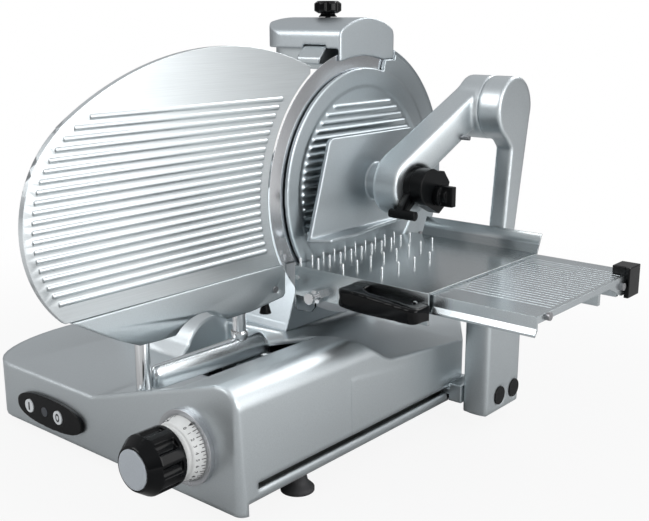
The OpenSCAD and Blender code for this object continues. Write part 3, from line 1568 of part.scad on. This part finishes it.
base_housing();
base_plate();
feet();
foot_studs();
blade_housing();
blade_bearings();
drive_motor();
drive_belt();
guide_rods();
gauge_rod();
switch_panel();
pilot_lamp();
start_button();
stop_button();
dial_bezel();
thickness_knob();
knob_cap();
dial_ring();
thickness_shaft();
blade();
blade_shaft();
blade_screws();
blade_pulley();
motor_pulley();
blade_cover();
cover_screws();
sharpener_base();
sharpener_cover();
sharpener_stones();
sharpener_knob();
gauge_plate();
gauge_beam();
gauge_legs();
gauge_arm();
gauge_screws();
gauge_lock_knob();
carriage_slide();
carriage_post();
post_plugs();
product_table();
grip_pins();
table_rivets();
table_handle();
latch_nut();
latch_pin();
hand_guard();
tray_extension();
tray_end_cap();
tray_screws();
feed_bracket();
feed_rod();
press_upright();
pivot_shaft();
press_arm();
arm_stop_screw();
press_plate();
clamp_body();
clamp_lever();
wing_screw();
cable_gland();
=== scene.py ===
import math
import bpy
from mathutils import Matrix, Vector


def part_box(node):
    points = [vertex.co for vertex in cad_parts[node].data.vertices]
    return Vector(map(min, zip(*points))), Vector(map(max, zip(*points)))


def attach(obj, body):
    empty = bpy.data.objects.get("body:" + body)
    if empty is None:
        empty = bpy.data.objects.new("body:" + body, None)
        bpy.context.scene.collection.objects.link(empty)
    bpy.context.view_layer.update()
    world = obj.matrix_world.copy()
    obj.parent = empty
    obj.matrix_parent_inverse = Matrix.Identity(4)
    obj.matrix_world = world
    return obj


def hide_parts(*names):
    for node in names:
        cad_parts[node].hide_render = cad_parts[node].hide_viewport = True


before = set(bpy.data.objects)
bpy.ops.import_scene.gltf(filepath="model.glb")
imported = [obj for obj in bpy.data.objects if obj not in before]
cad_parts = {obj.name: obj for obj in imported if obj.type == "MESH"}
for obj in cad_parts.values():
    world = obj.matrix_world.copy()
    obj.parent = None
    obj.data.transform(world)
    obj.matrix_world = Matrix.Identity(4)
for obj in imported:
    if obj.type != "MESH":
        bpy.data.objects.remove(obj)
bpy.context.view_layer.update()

# The camera stands in front and to the right of the machine, a little above the table,
# where the photographer stood. Its lens brings the whole machine into the frame.
turn, rise = math.radians(40.2), math.radians(14.04)
toward = Vector((math.sin(turn) * math.cos(rise), -math.cos(turn) * math.cos(rise), math.sin(rise)))
camera_place = (0.79355, -0.8503, 0.5084)
bpy.ops.object.camera_add(location=camera_place)
camera = bpy.context.object
camera.rotation_euler = (-toward).to_track_quat("-Z", "Y").to_euler()
camera.data.sensor_width = 36
camera.data.lens = 54.2
camera.data.clip_start = 0.05
camera.data.clip_end = 60
bpy.context.scene.camera = camera

# A pale floor that keeps the machine's shadow, faint to the camera. Polished metal also sees
# two painted reflections on it, white patches that glow for glossy rays only: a wedge on the
# product side, which the ribbed plate mirrors, and a strip in front.
bpy.context.scene.view_settings.view_transform = "Standard"
floor_size, floor_drop = 30, 0.0005
bpy.ops.mesh.primitive_plane_add(size=floor_size, location=(0, 0, -floor_drop))
floor = bpy.context.object
floor.name = "studio_floor"


def wire(tree, node, inputs):
    # Inputs, by name or number, take a value or the output of another node
    for socket, value in dict(inputs).items():
        if isinstance(value, bpy.types.NodeSocket):
            tree.links.new(value, node.inputs[socket])
        else:
            node.inputs[socket].default_value = value


def put(tree, kind, inputs=(), **settings):
    node = tree.nodes.new(kind)
    for setting, value in settings.items():
        setattr(node, setting, value)
    wire(tree, node, inputs)
    return node


def calculate(tree, operation, *terms):
    return put(tree, "ShaderNodeMath", enumerate(terms), operation=operation).outputs[0]


def soft_step(tree, value, start, end, top):
    # Nothing at the start, rising softly to the top at the end
    limits = {"Value": value, "From Min": start, "From Max": end, "To Max": top}
    return put(tree, "ShaderNodeMapRange", limits, interpolation_type="SMOOTHSTEP").outputs["Result"]


floor_paint = bpy.data.materials.new("floor_paint")
floor_paint.use_nodes = True
paint = floor_paint.node_tree
pale = paint.nodes["Principled BSDF"]
wire(paint, pale, {"Base Color": (0.45, 0.45, 0.45, 1), "Roughness": 0.8})
white = put(paint, "ShaderNodeEmission", {"Color": (1, 1, 1, 1), "Strength": 1})
ray = put(paint, "ShaderNodeLightPath").outputs
spot = put(paint, "ShaderNodeTexCoord").outputs["Object"]
spot_axes = put(paint, "ShaderNodeSeparateXYZ", {0: spot}).outputs

# The wedge fans out from a corner in front and to the left, and fades at its outer angle
corner_x, corner_y = -0.80, -0.85
outer_angle, inner_angle = 0.87, 0.70
wedge_angle = calculate(paint, "ARCTAN2", calculate(paint, "SUBTRACT", spot_axes["Y"], corner_y),
                        calculate(paint, "SUBTRACT", spot_axes["X"], corner_x))
fan = soft_step(paint, wedge_angle, start=outer_angle, end=inner_angle, top=0.9)
product_side = soft_step(paint, spot_axes["X"], start=0.35, end=1.0, top=1)
wedge = calculate(paint, "MULTIPLY", fan, product_side)
front_strip = soft_step(paint, spot_axes["Y"], start=-0.35, end=-0.95, top=0.62)
# The two painted reflections: the floor glows white here for glossy rays only
painted_reflections = calculate(paint, "MAXIMUM", wedge, front_strip)
painted_reflections_seen = calculate(paint, "MULTIPLY", painted_reflections, ray["Is Glossy Ray"])

# The camera sees the floor nearly white by the machine, and white further off
near_white, far_gain = 0.90, 0.10
distance = put(paint, "ShaderNodeVectorMath", {0: spot}, operation="LENGTH").outputs["Value"]
plain_white = calculate(paint, "ADD", near_white,
                        soft_step(paint, distance, start=0.4, end=1.3, top=far_gain))
whiteness = calculate(paint, "MULTIPLY_ADD", ray["Is Camera Ray"], plain_white, painted_reflections_seen)
floor_look = put(paint, "ShaderNodeMixShader", {0: whiteness, 1: pale.outputs[0], 2: white.outputs[0]})
wire(paint, paint.nodes["Material Output"], {"Surface": floor_look.outputs[0]})
floor.data.materials.append(floor_paint)

# The studio's air is plain white to the camera. The machine is lit by a softer sky, dim
# below the horizon, brightest high up and slightly cool.
air = bpy.data.worlds.new("studio_air")
bpy.context.scene.world = air
air.use_nodes = True
sky = air.node_tree
direction = put(sky, "ShaderNodeTexCoord").outputs["Generated"]
upward = put(sky, "ShaderNodeSeparateXYZ", {0: direction}).outputs["Z"]
elevation = put(sky, "ShaderNodeMapRange", {"Value": upward, "From Min": -1, "From Max": 1})
band = put(sky, "ShaderNodeValToRGB", {"Fac": elevation.outputs["Result"]})
# Brightness from straight down, at 0, past the horizon, at 0.5, to straight up
brightness = [(0.0, 0.32), (0.48, 0.38), (0.53, 0.36), (0.62, 0.58), (0.80, 1.00), (1.0, 0.90)]
green_gain, blue_gain = 1.01, 1.03
while len(band.color_ramp.elements) < len(brightness):
    band.color_ramp.elements.new(0.5)
for element, (place, level) in zip(band.color_ramp.elements, brightness):
    element.position = place
    element.color = (level, level * green_gain, level * blue_gain, 1)
soft_sky = sky.nodes["Background"]
wire(sky, soft_sky, {"Color": band.outputs["Color"], "Strength": 0.62})
white_sky = put(sky, "ShaderNodeBackground", {"Color": (1, 1, 1, 1)})
to_camera = put(sky, "ShaderNodeLightPath").outputs["Is Camera Ray"]
sky_look = put(sky, "ShaderNodeMixShader", {0: to_camera, 1: soft_sky.outputs[0], 2: white_sky.outputs[0]})
wire(sky, sky.nodes["World Output"], {"Surface": sky_look.outputs[0]})

# Four soft boxes: one over the operator's left shoulder, one low on the product side, a
# broad one that the ribbed plate looks at, and one above and behind.


def soft_box(name, place, aim, width, height, power):
    bpy.ops.object.light_add(type="AREA", location=place)
    lamp = bpy.context.object
    lamp.name = name
    lamp.data.shape = "RECTANGLE"
    lamp.data.size = width
    lamp.data.size_y = height
    lamp.data.energy = power
    lamp.rotation_euler = (Vector(aim) - Vector(place)).to_track_quat("-Z", "Y").to_euler()
    lamp.visible_camera = False


soft_box("front_box", place=(-1.3, -2.0, 1.7), aim=(-0.1, -0.1, 0.25), width=1.5, height=1.5, power=30)
soft_box("side_box", place=(2.3, -0.1, 0.9), aim=(0, 0, 0.2), width=1.3, height=1.3, power=18)
soft_box("card_box", place=(2.45, 0.95, 1.05), aim=(0, 0, 0.35), width=1.6, height=2.0, power=22)
soft_box("back_box", place=(0.4, 2.2, 2.0), aim=(0, 0, 0.3), width=1.8, height=1.2, power=24)

# Base casting: one satin aluminium shell with a ramp, a long round hump and a pocket for
# the gauge arm. Its skin is fine grained, and its colour is slightly lighter at the cast edges.


def deselect():
    if bpy.context.object and bpy.context.object.mode != "OBJECT":
        bpy.ops.object.mode_set(mode="OBJECT")
    bpy.ops.object.select_all(action="DESELECT")


def take_hold(piece):
    deselect()
    bpy.context.view_layer.objects.active = piece
    piece.select_set(True)


def reshape(piece, name, kind, **settings):
    # A modifier on the piece in hand, applied at once
    change = piece.modifiers.new(name, kind)
    for setting, value in settings.items():
        setattr(change, setting, value)
    bpy.ops.object.modifier_apply(modifier=name)


def merged_copy(name, node):
    # The solid's loose triangles, joined into one skin
    piece = bpy.data.objects.new(name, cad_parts[node].data.copy())
    bpy.context.collection.objects.link(piece)
    take_hold(piece)
    bpy.ops.object.mode_set(mode="EDIT")
    bpy.ops.mesh.select_all(action="SELECT")
    bpy.ops.mesh.remove_doubles(threshold=0.00001)
    bpy.ops.object.mode_set(mode="OBJECT")
    return piece


def smooth_skin(piece, angle):
    # Large flat faces keep their own normal, and the narrow strips beside them bend
    take_hold(piece)
    bpy.ops.object.shade_smooth_by_angle(angle=math.radians(angle))
    reshape(piece, "even", "WEIGHTED_NORMAL", mode="FACE_AREA", weight=100, keep_sharp=True)


def seat(piece, body, finish, node=None):
    piece.data.materials.clear()
    piece.data.materials.append(finish)
    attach(piece, body)
    if node:
        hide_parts(node)


def crisp(name, node, body, finish, angle=32):
    # A folded, turned or finely moulded piece, which keeps the solid's own faces
    piece = merged_copy(name, node)
    smooth_skin(piece, angle)
    seat(piece, body, finish, node)


def shader_group(name, inputs, outputs):
    group = bpy.data.node_groups.new(name, "ShaderNodeTree")
    for socket_name, kind, value in inputs:
        socket = group.interface.new_socket(name=socket_name, in_out="INPUT", socket_type=kind)
        socket.default_value = value
    for socket_name, kind in outputs:
        group.interface.new_socket(name=socket_name, in_out="OUTPUT", socket_type=kind)
    return group


# Fine grain: a small noise for tone and bump, and a slow one that lets the gloss drift
skin_grain = shader_group(
    "skin_grain",
    inputs=[("Place", "NodeSocketVector", (0, 0, 0)), ("Tone", "NodeSocketColor", (0.6, 0.6, 0.6, 1)),
            ("Fineness", "NodeSocketFloat", 900), ("Contrast", "NodeSocketFloat", 0.1),
            ("Roughness", "NodeSocketFloat", 0.4), ("Drift", "NodeSocketFloat", 0.08)],
    outputs=[("Tone", "NodeSocketColor"), ("Roughness", "NodeSocketFloat"), ("Height", "NodeSocketFloat")])
given = put(skin_grain, "NodeGroupInput").outputs
fine = put(skin_grain, "ShaderNodeTexNoise",
           {"Vector": given["Place"], "Scale": given["Fineness"], "Detail": 3}).outputs["Fac"]
slow = put(skin_grain, "ShaderNodeTexNoise",
           {"Vector": given["Place"], "Scale": 9, "Detail": 2}).outputs["Fac"]
spread = put(skin_grain, "ShaderNodeMapRange",
             {"Value": fine, "From Min": 0.25, "From Max": 0.75,
              "To Min": calculate(skin_grain, "SUBTRACT", 1, given["Contrast"]),
              "To Max": calculate(skin_grain, "ADD", 1, given["Contrast"])})
shade = put(skin_grain, "ShaderNodeVectorMath",
            {0: given["Tone"], "Scale": spread.outputs["Result"]}, operation="SCALE")
drift = calculate(skin_grain, "MULTIPLY", calculate(skin_grain, "SUBTRACT", slow, 0.5), given["Drift"])
gloss = calculate(skin_grain, "ADD", drift, given["Roughness"])
put(skin_grain, "NodeGroupOutput", {"Tone": shade.outputs[0], "Roughness": gloss, "Height": fine})

# Soft edges: the rounded normal of a broken edge, and a mask of where the edge is
soft_edge = shader_group("soft_edge", inputs=[("Radius", "NodeSocketFloat", 0.0015)],
                         outputs=[("Normal", "NodeSocketVector"), ("Edge", "NodeSocketFloat")])
given = put(soft_edge, "NodeGroupInput").outputs
rounded = put(soft_edge, "ShaderNodeBevel", {"Radius": given["Radius"]}, samples=6).outputs[0]
face = put(soft_edge, "ShaderNodeNewGeometry").outputs["Normal"]
match = put(soft_edge, "ShaderNodeVectorMath", {0: rounded, 1: face}, operation="DOT_PRODUCT")
edge = put(soft_edge, "ShaderNodeMapRange",
           {"Value": match.outputs["Value"], "From Min": 0.995, "From Max": 0.80})
put(soft_edge, "NodeGroupOutput", {"Normal": rounded, "Edge": edge.outputs["Result"]})


def finish_of(name, tone, metal, roughness, fineness=900, contrast=0.06, drift=0.08, bump=0.05,
              radius=0.0015, edge_gain=1.25, stretch=(1, 1, 1), sheen=0.5):
    # The grain varies tone and gloss, and the colour is lighter at the broken edges by the given factor
    finish = bpy.data.materials.new(name)
    finish.use_nodes = True
    tree = finish.node_tree
    place = put(tree, "ShaderNodeTexCoord").outputs["Object"]
    stretched = put(tree, "ShaderNodeMapping", {"Vector": place, "Scale": stretch}).outputs[0]
    grain = put(tree, "ShaderNodeGroup",
                {"Place": stretched, "Tone": (*tone, 1), "Fineness": fineness, "Contrast": contrast,
                 "Roughness": roughness, "Drift": drift}, node_tree=skin_grain).outputs
    rim = put(tree, "ShaderNodeGroup", {"Radius": radius}, node_tree=soft_edge).outputs
    edge_tone = (*[min(1, level * edge_gain) for level in tone], 1)
    edge_blend = put(tree, "ShaderNodeMix", {"Factor": rim["Edge"], "A": grain["Tone"], "B": edge_tone},
                 data_type="RGBA")
    relief = put(tree, "ShaderNodeBump", {"Strength": bump, "Distance": 0.0004,
                                          "Height": grain["Height"], "Normal": rim["Normal"]})
    wire(tree, tree.nodes["Principled BSDF"],
         {"Metallic": metal, "Specular IOR Level": sheen, "Base Color": edge_blend.outputs["Result"],
          "Roughness": grain["Roughness"], "Normal": relief.outputs[0]})
    return finish


satin_casting = finish_of("satin_casting", (0.62, 0.665, 0.685), metal=1, roughness=0.38, fineness=700,
                          contrast=0.05, bump=0.06, radius=0.007, edge_gain=1.15)
crisp("base_casting", "base_housing", "housing", satin_casting, angle=16)

# Base sheet, feet and cable gland: a thin steel sheet closes the base, and black rubber
# feet on threaded studs carry it. The gland for the lead is black nylon.


def dress(finish, *nodes):
    # Pieces whose solids are right as they are only take a finish
    for node in nodes:
        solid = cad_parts[node]
        if solid.material_slots:
            for place in solid.material_slots:
                place.material = finish
        else:
            solid.data.materials.append(finish)


dull_sheet = finish_of("dull_sheet", (0.42, 0.43, 0.44), metal=1, roughness=0.5, fineness=400)
foot_rubber = finish_of("foot_rubber", (0.022, 0.022, 0.024), metal=0, roughness=0.62, fineness=1500,
                        contrast=0.25, bump=0.2, radius=0.001, edge_gain=1.8)
stud_steel = finish_of("stud_steel", (0.50, 0.50, 0.51), metal=1, roughness=0.3, fineness=600,
                       stretch=(1, 1, 4))
gland_nylon = finish_of("gland_nylon", (0.03, 0.03, 0.032), metal=0, roughness=0.45, fineness=1800,
                        bump=0.15)
dress(dull_sheet, "base_plate")
crisp("rubber_feet", "feet", "housing", foot_rubber, angle=40)
dress(stud_steel, "foot_studs")
dress(gland_nylon, "cable_gland")

# Drive: a painted motor in the base turns the blade's pulley by a rubber belt. The pulleys
# are turned aluminium, and the shafts, rods and bearings are ground steel.
motor_paint = finish_of("motor_paint", (0.16, 0.17, 0.18), metal=0.4, roughness=0.5, contrast=0.12)
belt_rubber = finish_of("belt_rubber", (0.025, 0.025, 0.025), metal=0, roughness=0.7, fineness=1200,
                        contrast=0.3)
turned_alloy = finish_of("turned_alloy", (0.52, 0.53, 0.55), metal=1, roughness=0.32, fineness=500,
                         stretch=(12, 1, 1))
ground_steel = finish_of("ground_steel", (0.70, 0.71, 0.72), metal=1, roughness=0.18, fineness=700,
                         contrast=0.04, bump=0.02, radius=0.0008)
dress(motor_paint, "drive_motor")
dress(belt_rubber, "drive_belt")
dress(turned_alloy, "blade_pulley", "motor_pulley")
dress(ground_steel, "blade_bearings", "blade_shaft", "pivot_shaft", "thickness_shaft",
      "guide_rods", "gauge_rod", "feed_rod")

# Switch panel: a black glossy lens let into the base, with a white start button, a white
# stop button and a smoked lamp between them, all moulded plastic.


def even_copy(name, node, voxel, rounds):
    # The solid's skin, laid again as one even net and eased
    piece = merged_copy(name, node)
    reshape(piece, "net", "REMESH", mode="VOXEL", voxel_size=voxel)
    if rounds:
        reshape(piece, "ease", "SMOOTH", factor=0.5, iterations=rounds)
    bpy.ops.object.shade_smooth()
    return piece


def eased(name, node, body, finish, voxel, rounds):
    # A cast or moulded piece with soft edges
    seat(even_copy(name, node, voxel, rounds), body, finish, node)


gloss_black = finish_of("gloss_black", (0.0022, 0.0025, 0.003), metal=0, roughness=0.13, fineness=500,
                        contrast=0.1, bump=0.01, edge_gain=1.5, sheen=0.18)
button_white = finish_of("button_white", (0.72, 0.75, 0.77), metal=0, roughness=0.3, contrast=0.02,
                         bump=0.02, radius=0.0008, edge_gain=1.1)
lamp_lens = finish_of("lamp_lens", (0.05, 0.055, 0.065), metal=0, roughness=0.15, fineness=300,
                      radius=0.0012)
eased("switch_lens", "switch_panel", "housing", gloss_black, voxel=0.0007, rounds=4)
dress(button_white, "start_button", "stop_button")
dress(lamp_lens, "pilot_lamp")

# Button marks: an upright bar on the start button and an upright oval on the stop button,
# printed in black ink on their front faces.
mark_ink = finish_of("mark_ink", (0.015, 0.015, 0.018), metal=0, roughness=0.5, contrast=0.1,
                     radius=0.0001)
mark_depth = 0.0001
mark_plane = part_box("start_button")[0].y + mark_depth
start_at = (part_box("start_button")[0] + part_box("start_button")[1]) / 2
stop_at = (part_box("stop_button")[0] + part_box("stop_button")[1]) / 2
bar_width, bar_depth, bar_height = 0.0029, 0.0004, 0.0104
deselect()
bpy.ops.mesh.primitive_cube_add(size=1, location=(start_at.x, mark_plane, start_at.z))
bar = bpy.context.object
bar.name = "start_bar"
bar.scale = (bar_width, bar_depth, bar_height)
bpy.ops.object.transform_apply(location=True, rotation=True, scale=True)
reshape(bar, "edge", "BEVEL", width=0.00015, segments=2)
seat(bar, "start_button", mark_ink)
oval_radius, oval_line, oval_narrow, oval_flat = 0.0042, 0.0013, 0.72, 0.3
deselect()
bpy.ops.mesh.primitive_torus_add(location=(stop_at.x, mark_plane, stop_at.z),
                                 rotation=(math.pi / 2, 0, 0), major_radius=oval_radius,
                                 minor_radius=oval_line, major_segments=48, minor_segments=10)
oval = bpy.context.object
oval.name = "stop_ring"
oval.scale = (oval_narrow, 1, oval_flat)
bpy.ops.object.transform_apply(location=True, rotation=True, scale=True)
smooth_skin(oval, angle=60)
seat(oval, "stop_button", mark_ink)

# Thickness knob: a turned aluminium bezel on the base, a white scale ring, a black fluted
# knob and a light grey cap pressed into it, left plain.
bezel_metal = finish_of("bezel_metal", (0.55, 0.56, 0.58), metal=1, roughness=0.28, fineness=600,
                        contrast=0.05, radius=0.0012, stretch=(1, 8, 1))
scale_white = finish_of("scale_white", (0.82, 0.83, 0.82), metal=0, roughness=0.35, contrast=0.02,
                        bump=0.01, radius=0.0008, edge_gain=1.05)
cap_grey = finish_of("cap_grey", (0.50, 0.54, 0.58), metal=0.3, roughness=0.35, contrast=0.05,
                     radius=0.0008, edge_gain=1.3)
crisp("dial_bezel_ring", "dial_bezel", "housing", bezel_metal)
crisp("dial_scale", "dial_ring", "thickness_dial", scale_white)
eased("fluted_knob", "thickness_knob", "thickness_dial", gloss_black,
      voxel=0.0007, rounds=8)
crisp("knob_disc", "knob_cap", "thickness_dial", cap_grey)

# Dial print: black strokes and the numbers 0 to 24 round the scale ring, with a pointed
# zero mark. The ring is a cone over part of its length, and the print follows it.
dial_low, dial_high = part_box("dial_ring")
dial_axis = (dial_low + dial_high) / 2
dial_length = dial_high.y - dial_low.y
dial_back_r = (dial_high.x - dial_low.x) / 2
dial_cone_r = dial_back_r * 0.883
cone_start, cone_run = 0.10, 0.55
ink_lift, ink_thickness = 0.00008, 0.00012


def on_dial(angle, along):
    # The angle runs from the top to the product side, and along runs from bezel to knob
    taper = min(1, max(0, (along - cone_start) / cone_run))
    radius = dial_back_r + (dial_cone_r - dial_back_r) * taper + ink_lift
    return Vector((dial_axis.x + radius * math.sin(angle), dial_high.y - dial_length * along,
                   dial_axis.z + radius * math.cos(angle)))


def round_dial(angle):
    return Vector((math.cos(angle), 0, -math.sin(angle)))


prints = []
last_number, first_mark, mark_step = 24, 26, 13
stroke_start, long_end, short_end, stroke_half = 0.11, 0.30, 0.22, 0.00038
zero_widening, zero_tip = 5, 0.05
for step in range(2 * (last_number + 1)):
    angle = math.radians(first_mark + mark_step * step / 2)
    deselect()
    bpy.ops.mesh.primitive_plane_add(size=1, location=(0, 0, 0))
    stroke = bpy.context.object
    inner = on_dial(angle, stroke_start)
    outer = on_dial(angle, long_end if step % 2 == 0 else short_end)
    side = round_dial(angle) * stroke_half
    tip = side
    if step == 0:
        side = side * zero_widening
        tip = side * zero_tip
    for corner, place in zip(stroke.data.vertices, (inner - side, inner + side, outer - tip, outer + tip)):
        corner.co = place
    prints.append(stroke)
number_along, number_size = 0.47, 0.0054
lean = (dial_back_r - dial_cone_r) / (dial_length * cone_run)
for number in range(last_number + 1):
    angle = math.radians(first_mark + mark_step * number)
    deselect()
    bpy.ops.object.text_add(location=(0, 0, 0))
    figure = bpy.context.object
    figure.data.body = str(number)
    figure.data.size = number_size
    figure.data.align_x = "CENTER"
    figure.data.align_y = "CENTER"
    figure.data.extrude = ink_thickness
    bpy.ops.object.convert(target="MESH")
    centre = on_dial(angle, number_along)
    out = Vector((math.sin(angle), -lean, math.cos(angle))).normalized()
    across = round_dial(angle)
    up = out.cross(across)
    for corner in figure.data.vertices:
        corner.co = centre + across * corner.co.x + up * corner.co.y + out * corner.co.z
    prints.append(figure)
take_hold(prints[0])
for mark in prints:
    mark.select_set(True)
bpy.ops.object.join()
dial_print = bpy.context.object
dial_print.name = "dial_print"
reshape(dial_print, "ink", "SOLIDIFY", thickness=ink_thickness)
seat(dial_print, "thickness_dial", mark_ink)

# Gauge plate and beam: a thick anodised aluminium plate with long half round ribs, carried
# by a cast beam that runs under it.
plate_metal = finish_of("plate_metal", (0.70, 0.74, 0.755), metal=1, roughness=0.30, fineness=260,
                        contrast=0.05, drift=0.05, radius=0.0012, stretch=(1, 0.06, 6), edge_gain=1.15)
beam_metal = finish_of("beam_metal", (0.56, 0.605, 0.625), metal=1, roughness=0.36, fineness=700,
                       contrast=0.05, radius=0.003, edge_gain=1.2)
crisp("ribbed_plate", "gauge_plate", "gauge", plate_metal, angle=30)
crisp("plate_beam", "gauge_beam", "gauge", beam_metal)

# Gauge legs and lock: two chromed steel legs stand under the beam, with a small screw and a
# black cone knob beside them.
chrome = finish_of("chrome", (0.78, 0.79, 0.80), metal=1, roughness=0.10, fineness=500, contrast=0.02,
                   drift=0.03, bump=0.01, radius=0.0008, edge_gain=1.05)
screw_steel = finish_of("screw_steel", (0.34, 0.34, 0.35), metal=1, roughness=0.35, radius=0.0005)
crisp("chrome_legs", "gauge_legs", "gauge", chrome)
dress(screw_steel, "gauge_screws")
crisp("cone_knob", "gauge_lock_knob", "gauge_lock", gloss_black)

# Gauge arm: a polished aluminium casting in the base's pocket. Its bar has a crowned top,
# so the solid's square section is pulled into a round one, fuller towards the back.
polished_casting = finish_of("polished_casting", (0.65, 0.69, 0.71), metal=1, roughness=0.22,
                             fineness=500, contrast=0.03, bump=0.03, radius=0.004, edge_gain=1.1)


def from_blade(x, y, z):
    # Millimetres from the blade's centre, as the machine is set out, to the frame's metres
    return Vector(((x - 2.25) / 1000, (y + 164.5) / 1000, (z + 293) / 1000))


arm_bar = even_copy("gauge_arm_casting", "gauge_arm", voxel=0.0012, rounds=6)
bar_front, bar_back = from_blade(-20, -343.3, -192), from_blade(-20, -183, -166)
bar_rise, bar_run = bar_back.z - bar_front.z, bar_back.y - bar_front.y
front_half_width, half_width_gain, rounded_end = 0.0102, 0.0068, 0.018
lowest_lift, widest_reach = 0.02, 1.05
for corner in arm_bar.data.vertices:
    lift = (corner.co.z - bar_front.z) / bar_rise
    if lift > lowest_lift and corner.co.y < bar_back.y + rounded_end:
        run = min(1, max(0, (corner.co.y - bar_front.y) / bar_run))
        spine = Vector((bar_front.x, bar_front.y + bar_run * run, corner.co.z))
        offset = corner.co - spine
        reach = min(widest_reach, offset.length / (front_half_width + half_width_gain * run))
        lift = min(1, lift)
        corner.co = spine + offset * math.sqrt(1 - lift ** 3 / 2)
        corner.co.z = bar_front.z + bar_rise * lift * math.sqrt(1 - reach ** 3 / 2)
take_hold(arm_bar)
reshape(arm_bar, "crown", "SMOOTH", factor=0.5, iterations=12)
seat(arm_bar, "gauge", polished_casting, "gauge_arm")

# Blade: a ground steel disc with a bevelled edge, screwed to the flange of its shaft. It
# spins behind the cover disc.
blade_metal = finish_of("blade_metal", (0.74, 0.75, 0.77), metal=1, roughness=0.16, fineness=300,
                        contrast=0.04, bump=0.02, radius=0.0006)
crisp("round_blade", "blade", "blade_group", blade_metal, angle=20)
dress(screw_steel, "blade_screws")

# Blade housing and cover: a cast neck with the guard ring round the blade, and a ribbed
# aluminium disc screwed on in front of it.
ring_metal = finish_of("ring_metal", (0.45, 0.50, 0.53), metal=1, roughness=0.30, fineness=500,
                       contrast=0.05, radius=0.0025)
disc_metal = finish_of("disc_metal", (0.48, 0.53, 0.555), metal=1, roughness=0.34, fineness=700,
                       contrast=0.05, radius=0.002)
crisp("guard_and_neck", "blade_housing", "housing", ring_metal, angle=14)
eased("cover_disc", "blade_cover", "housing", disc_metal, voxel=0.0014, rounds=4)
dress(screw_steel, "cover_screws")

# Sharpener: a domed cast cover on a small cast base over the blade. It holds two grinding
# stones, and a lobed black knob on top clamps it down.
cover_casting = finish_of("cover_casting", (0.53, 0.575, 0.60), metal=1, roughness=0.40, fineness=700,
                          contrast=0.05, radius=0.002, edge_gain=1.15)
stone_grit = finish_of("stone_grit", (0.42, 0.36, 0.30), metal=0, roughness=0.9, fineness=1600,
                       contrast=0.35, bump=0.6)
eased("domed_cover", "sharpener_cover", "sharpener", cover_casting, voxel=0.0012, rounds=9)
eased("sharpener_seat", "sharpener_base", "housing", beam_metal, voxel=0.001, rounds=5)
dress(stone_grit, "sharpener_stones")
eased("lobed_knob", "sharpener_knob", "sharpener_turn", gloss_black,
      voxel=0.0005, rounds=6)

# Carriage: a cast post with a head plate under the table, on a slide that runs on rods in
# the base. Two black plugs close its holes, and a bracket at the back holds the feed rod.
eased("post_casting", "carriage_post", "carriage", satin_casting, voxel=0.0018, rounds=10)
crisp("slide_block", "carriage_slide", "carriage", beam_metal)
dress(gloss_black, "post_plugs")
crisp("rod_bracket", "feed_bracket", "carriage", beam_metal)

# Table: folded stainless sheet with rows of pointed grip pins. A riveted flange in front
# carries a hex nut with a spring pin.
table_sheet = finish_of("table_sheet", (0.54, 0.575, 0.585), metal=1, roughness=0.24, fineness=220,
                        contrast=0.05, drift=0.06, bump=0.04, radius=0.001, stretch=(0.06, 5, 5),
                        edge_gain=1.3)
crisp("folded_table", "product_table", "carriage", table_sheet)
crisp("pointed_pins", "grip_pins", "carriage", chrome)
dress(chrome, "table_rivets", "latch_nut", "latch_pin")

# Table handle: one black moulding, screwed to the table's flange. Its grip is rounded like
# a bow, and its feet stay square on the flange.
handle = even_copy("moulded_handle", "table_handle", voxel=0.0012, rounds=0)
grip = handle.vertex_groups.new(name="grip")
flange_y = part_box("table_handle")[1].y
foot_depth, ease_depth = 0.004, 0.010
for corner in handle.data.vertices:
    freedom = min(1, max(0, (flange_y - foot_depth - corner.co.y) / ease_depth))
    grip.add([corner.index], freedom, "REPLACE")
reshape(handle, "rounded", "SMOOTH", factor=0.5, iterations=36, vertex_group="grip")
seat(handle, "carriage", gloss_black, "table_handle")

# Hand guard: a small sheet of clear plastic on the table's flange, between the hand and the
# blade.
clear_sheet = bpy.data.materials.new("clear_sheet")
clear_sheet.use_nodes = True
wire(clear_sheet.node_tree, clear_sheet.node_tree.nodes["Principled BSDF"],
     {"Base Color": (0.97, 0.99, 1, 1), "Roughness": 0.02, "IOR": 1.25, "Transmission Weight": 1})
dress(clear_sheet, "hand_guard")

# Tray: a ribbed aluminium profile that pulls out from under the table, with a black
# faceted end cap held by two screws.
profile_metal = finish_of("profile_metal", (0.58, 0.625, 0.645), metal=1, roughness=0.27, fineness=700,
                          contrast=0.04, bump=0.02, radius=0.0003, edge_gain=1.1)
tray = merged_copy("ribbed_tray", "tray_extension")
seat(tray, "tray", profile_metal, "tray_extension")
eased("faceted_cap", "tray_end_cap", "tray", gloss_black, voxel=0.0007, rounds=6)
dress(screw_steel, "tray_screws")

# Meat press: a cast upright with a round head, a cast arm that swings from it with a stop
# screw, and a folded push plate with a ledge.
eased("upright_casting", "press_upright", "upright", satin_casting, voxel=0.0014, rounds=8)
eased("arm_casting", "press_arm", "arm", satin_casting, voxel=0.0015, rounds=8)
dress(screw_steel, "arm_stop_screw")
eased("push_plate", "press_plate", "plate", cover_casting, voxel=0.0012, rounds=6)

# Press clamp: a black moulded body on the arm's hub, with a lever and a wing screw of the
# same fine grained plastic.
moulded_black = finish_of("moulded_black", (0.004, 0.0045, 0.005), metal=0, roughness=0.3,
                          fineness=2200, contrast=0.2, bump=0.12, radius=0.001, edge_gain=1.8, sheen=0.16)
eased("clamp_moulding", "clamp_body", "arm", moulded_black, voxel=0.0006, rounds=2)
crisp("lever_moulding", "clamp_lever", "lever", moulded_black)
eased("wing_moulding", "wing_screw", "wing", moulded_black, voxel=0.0006, rounds=6)
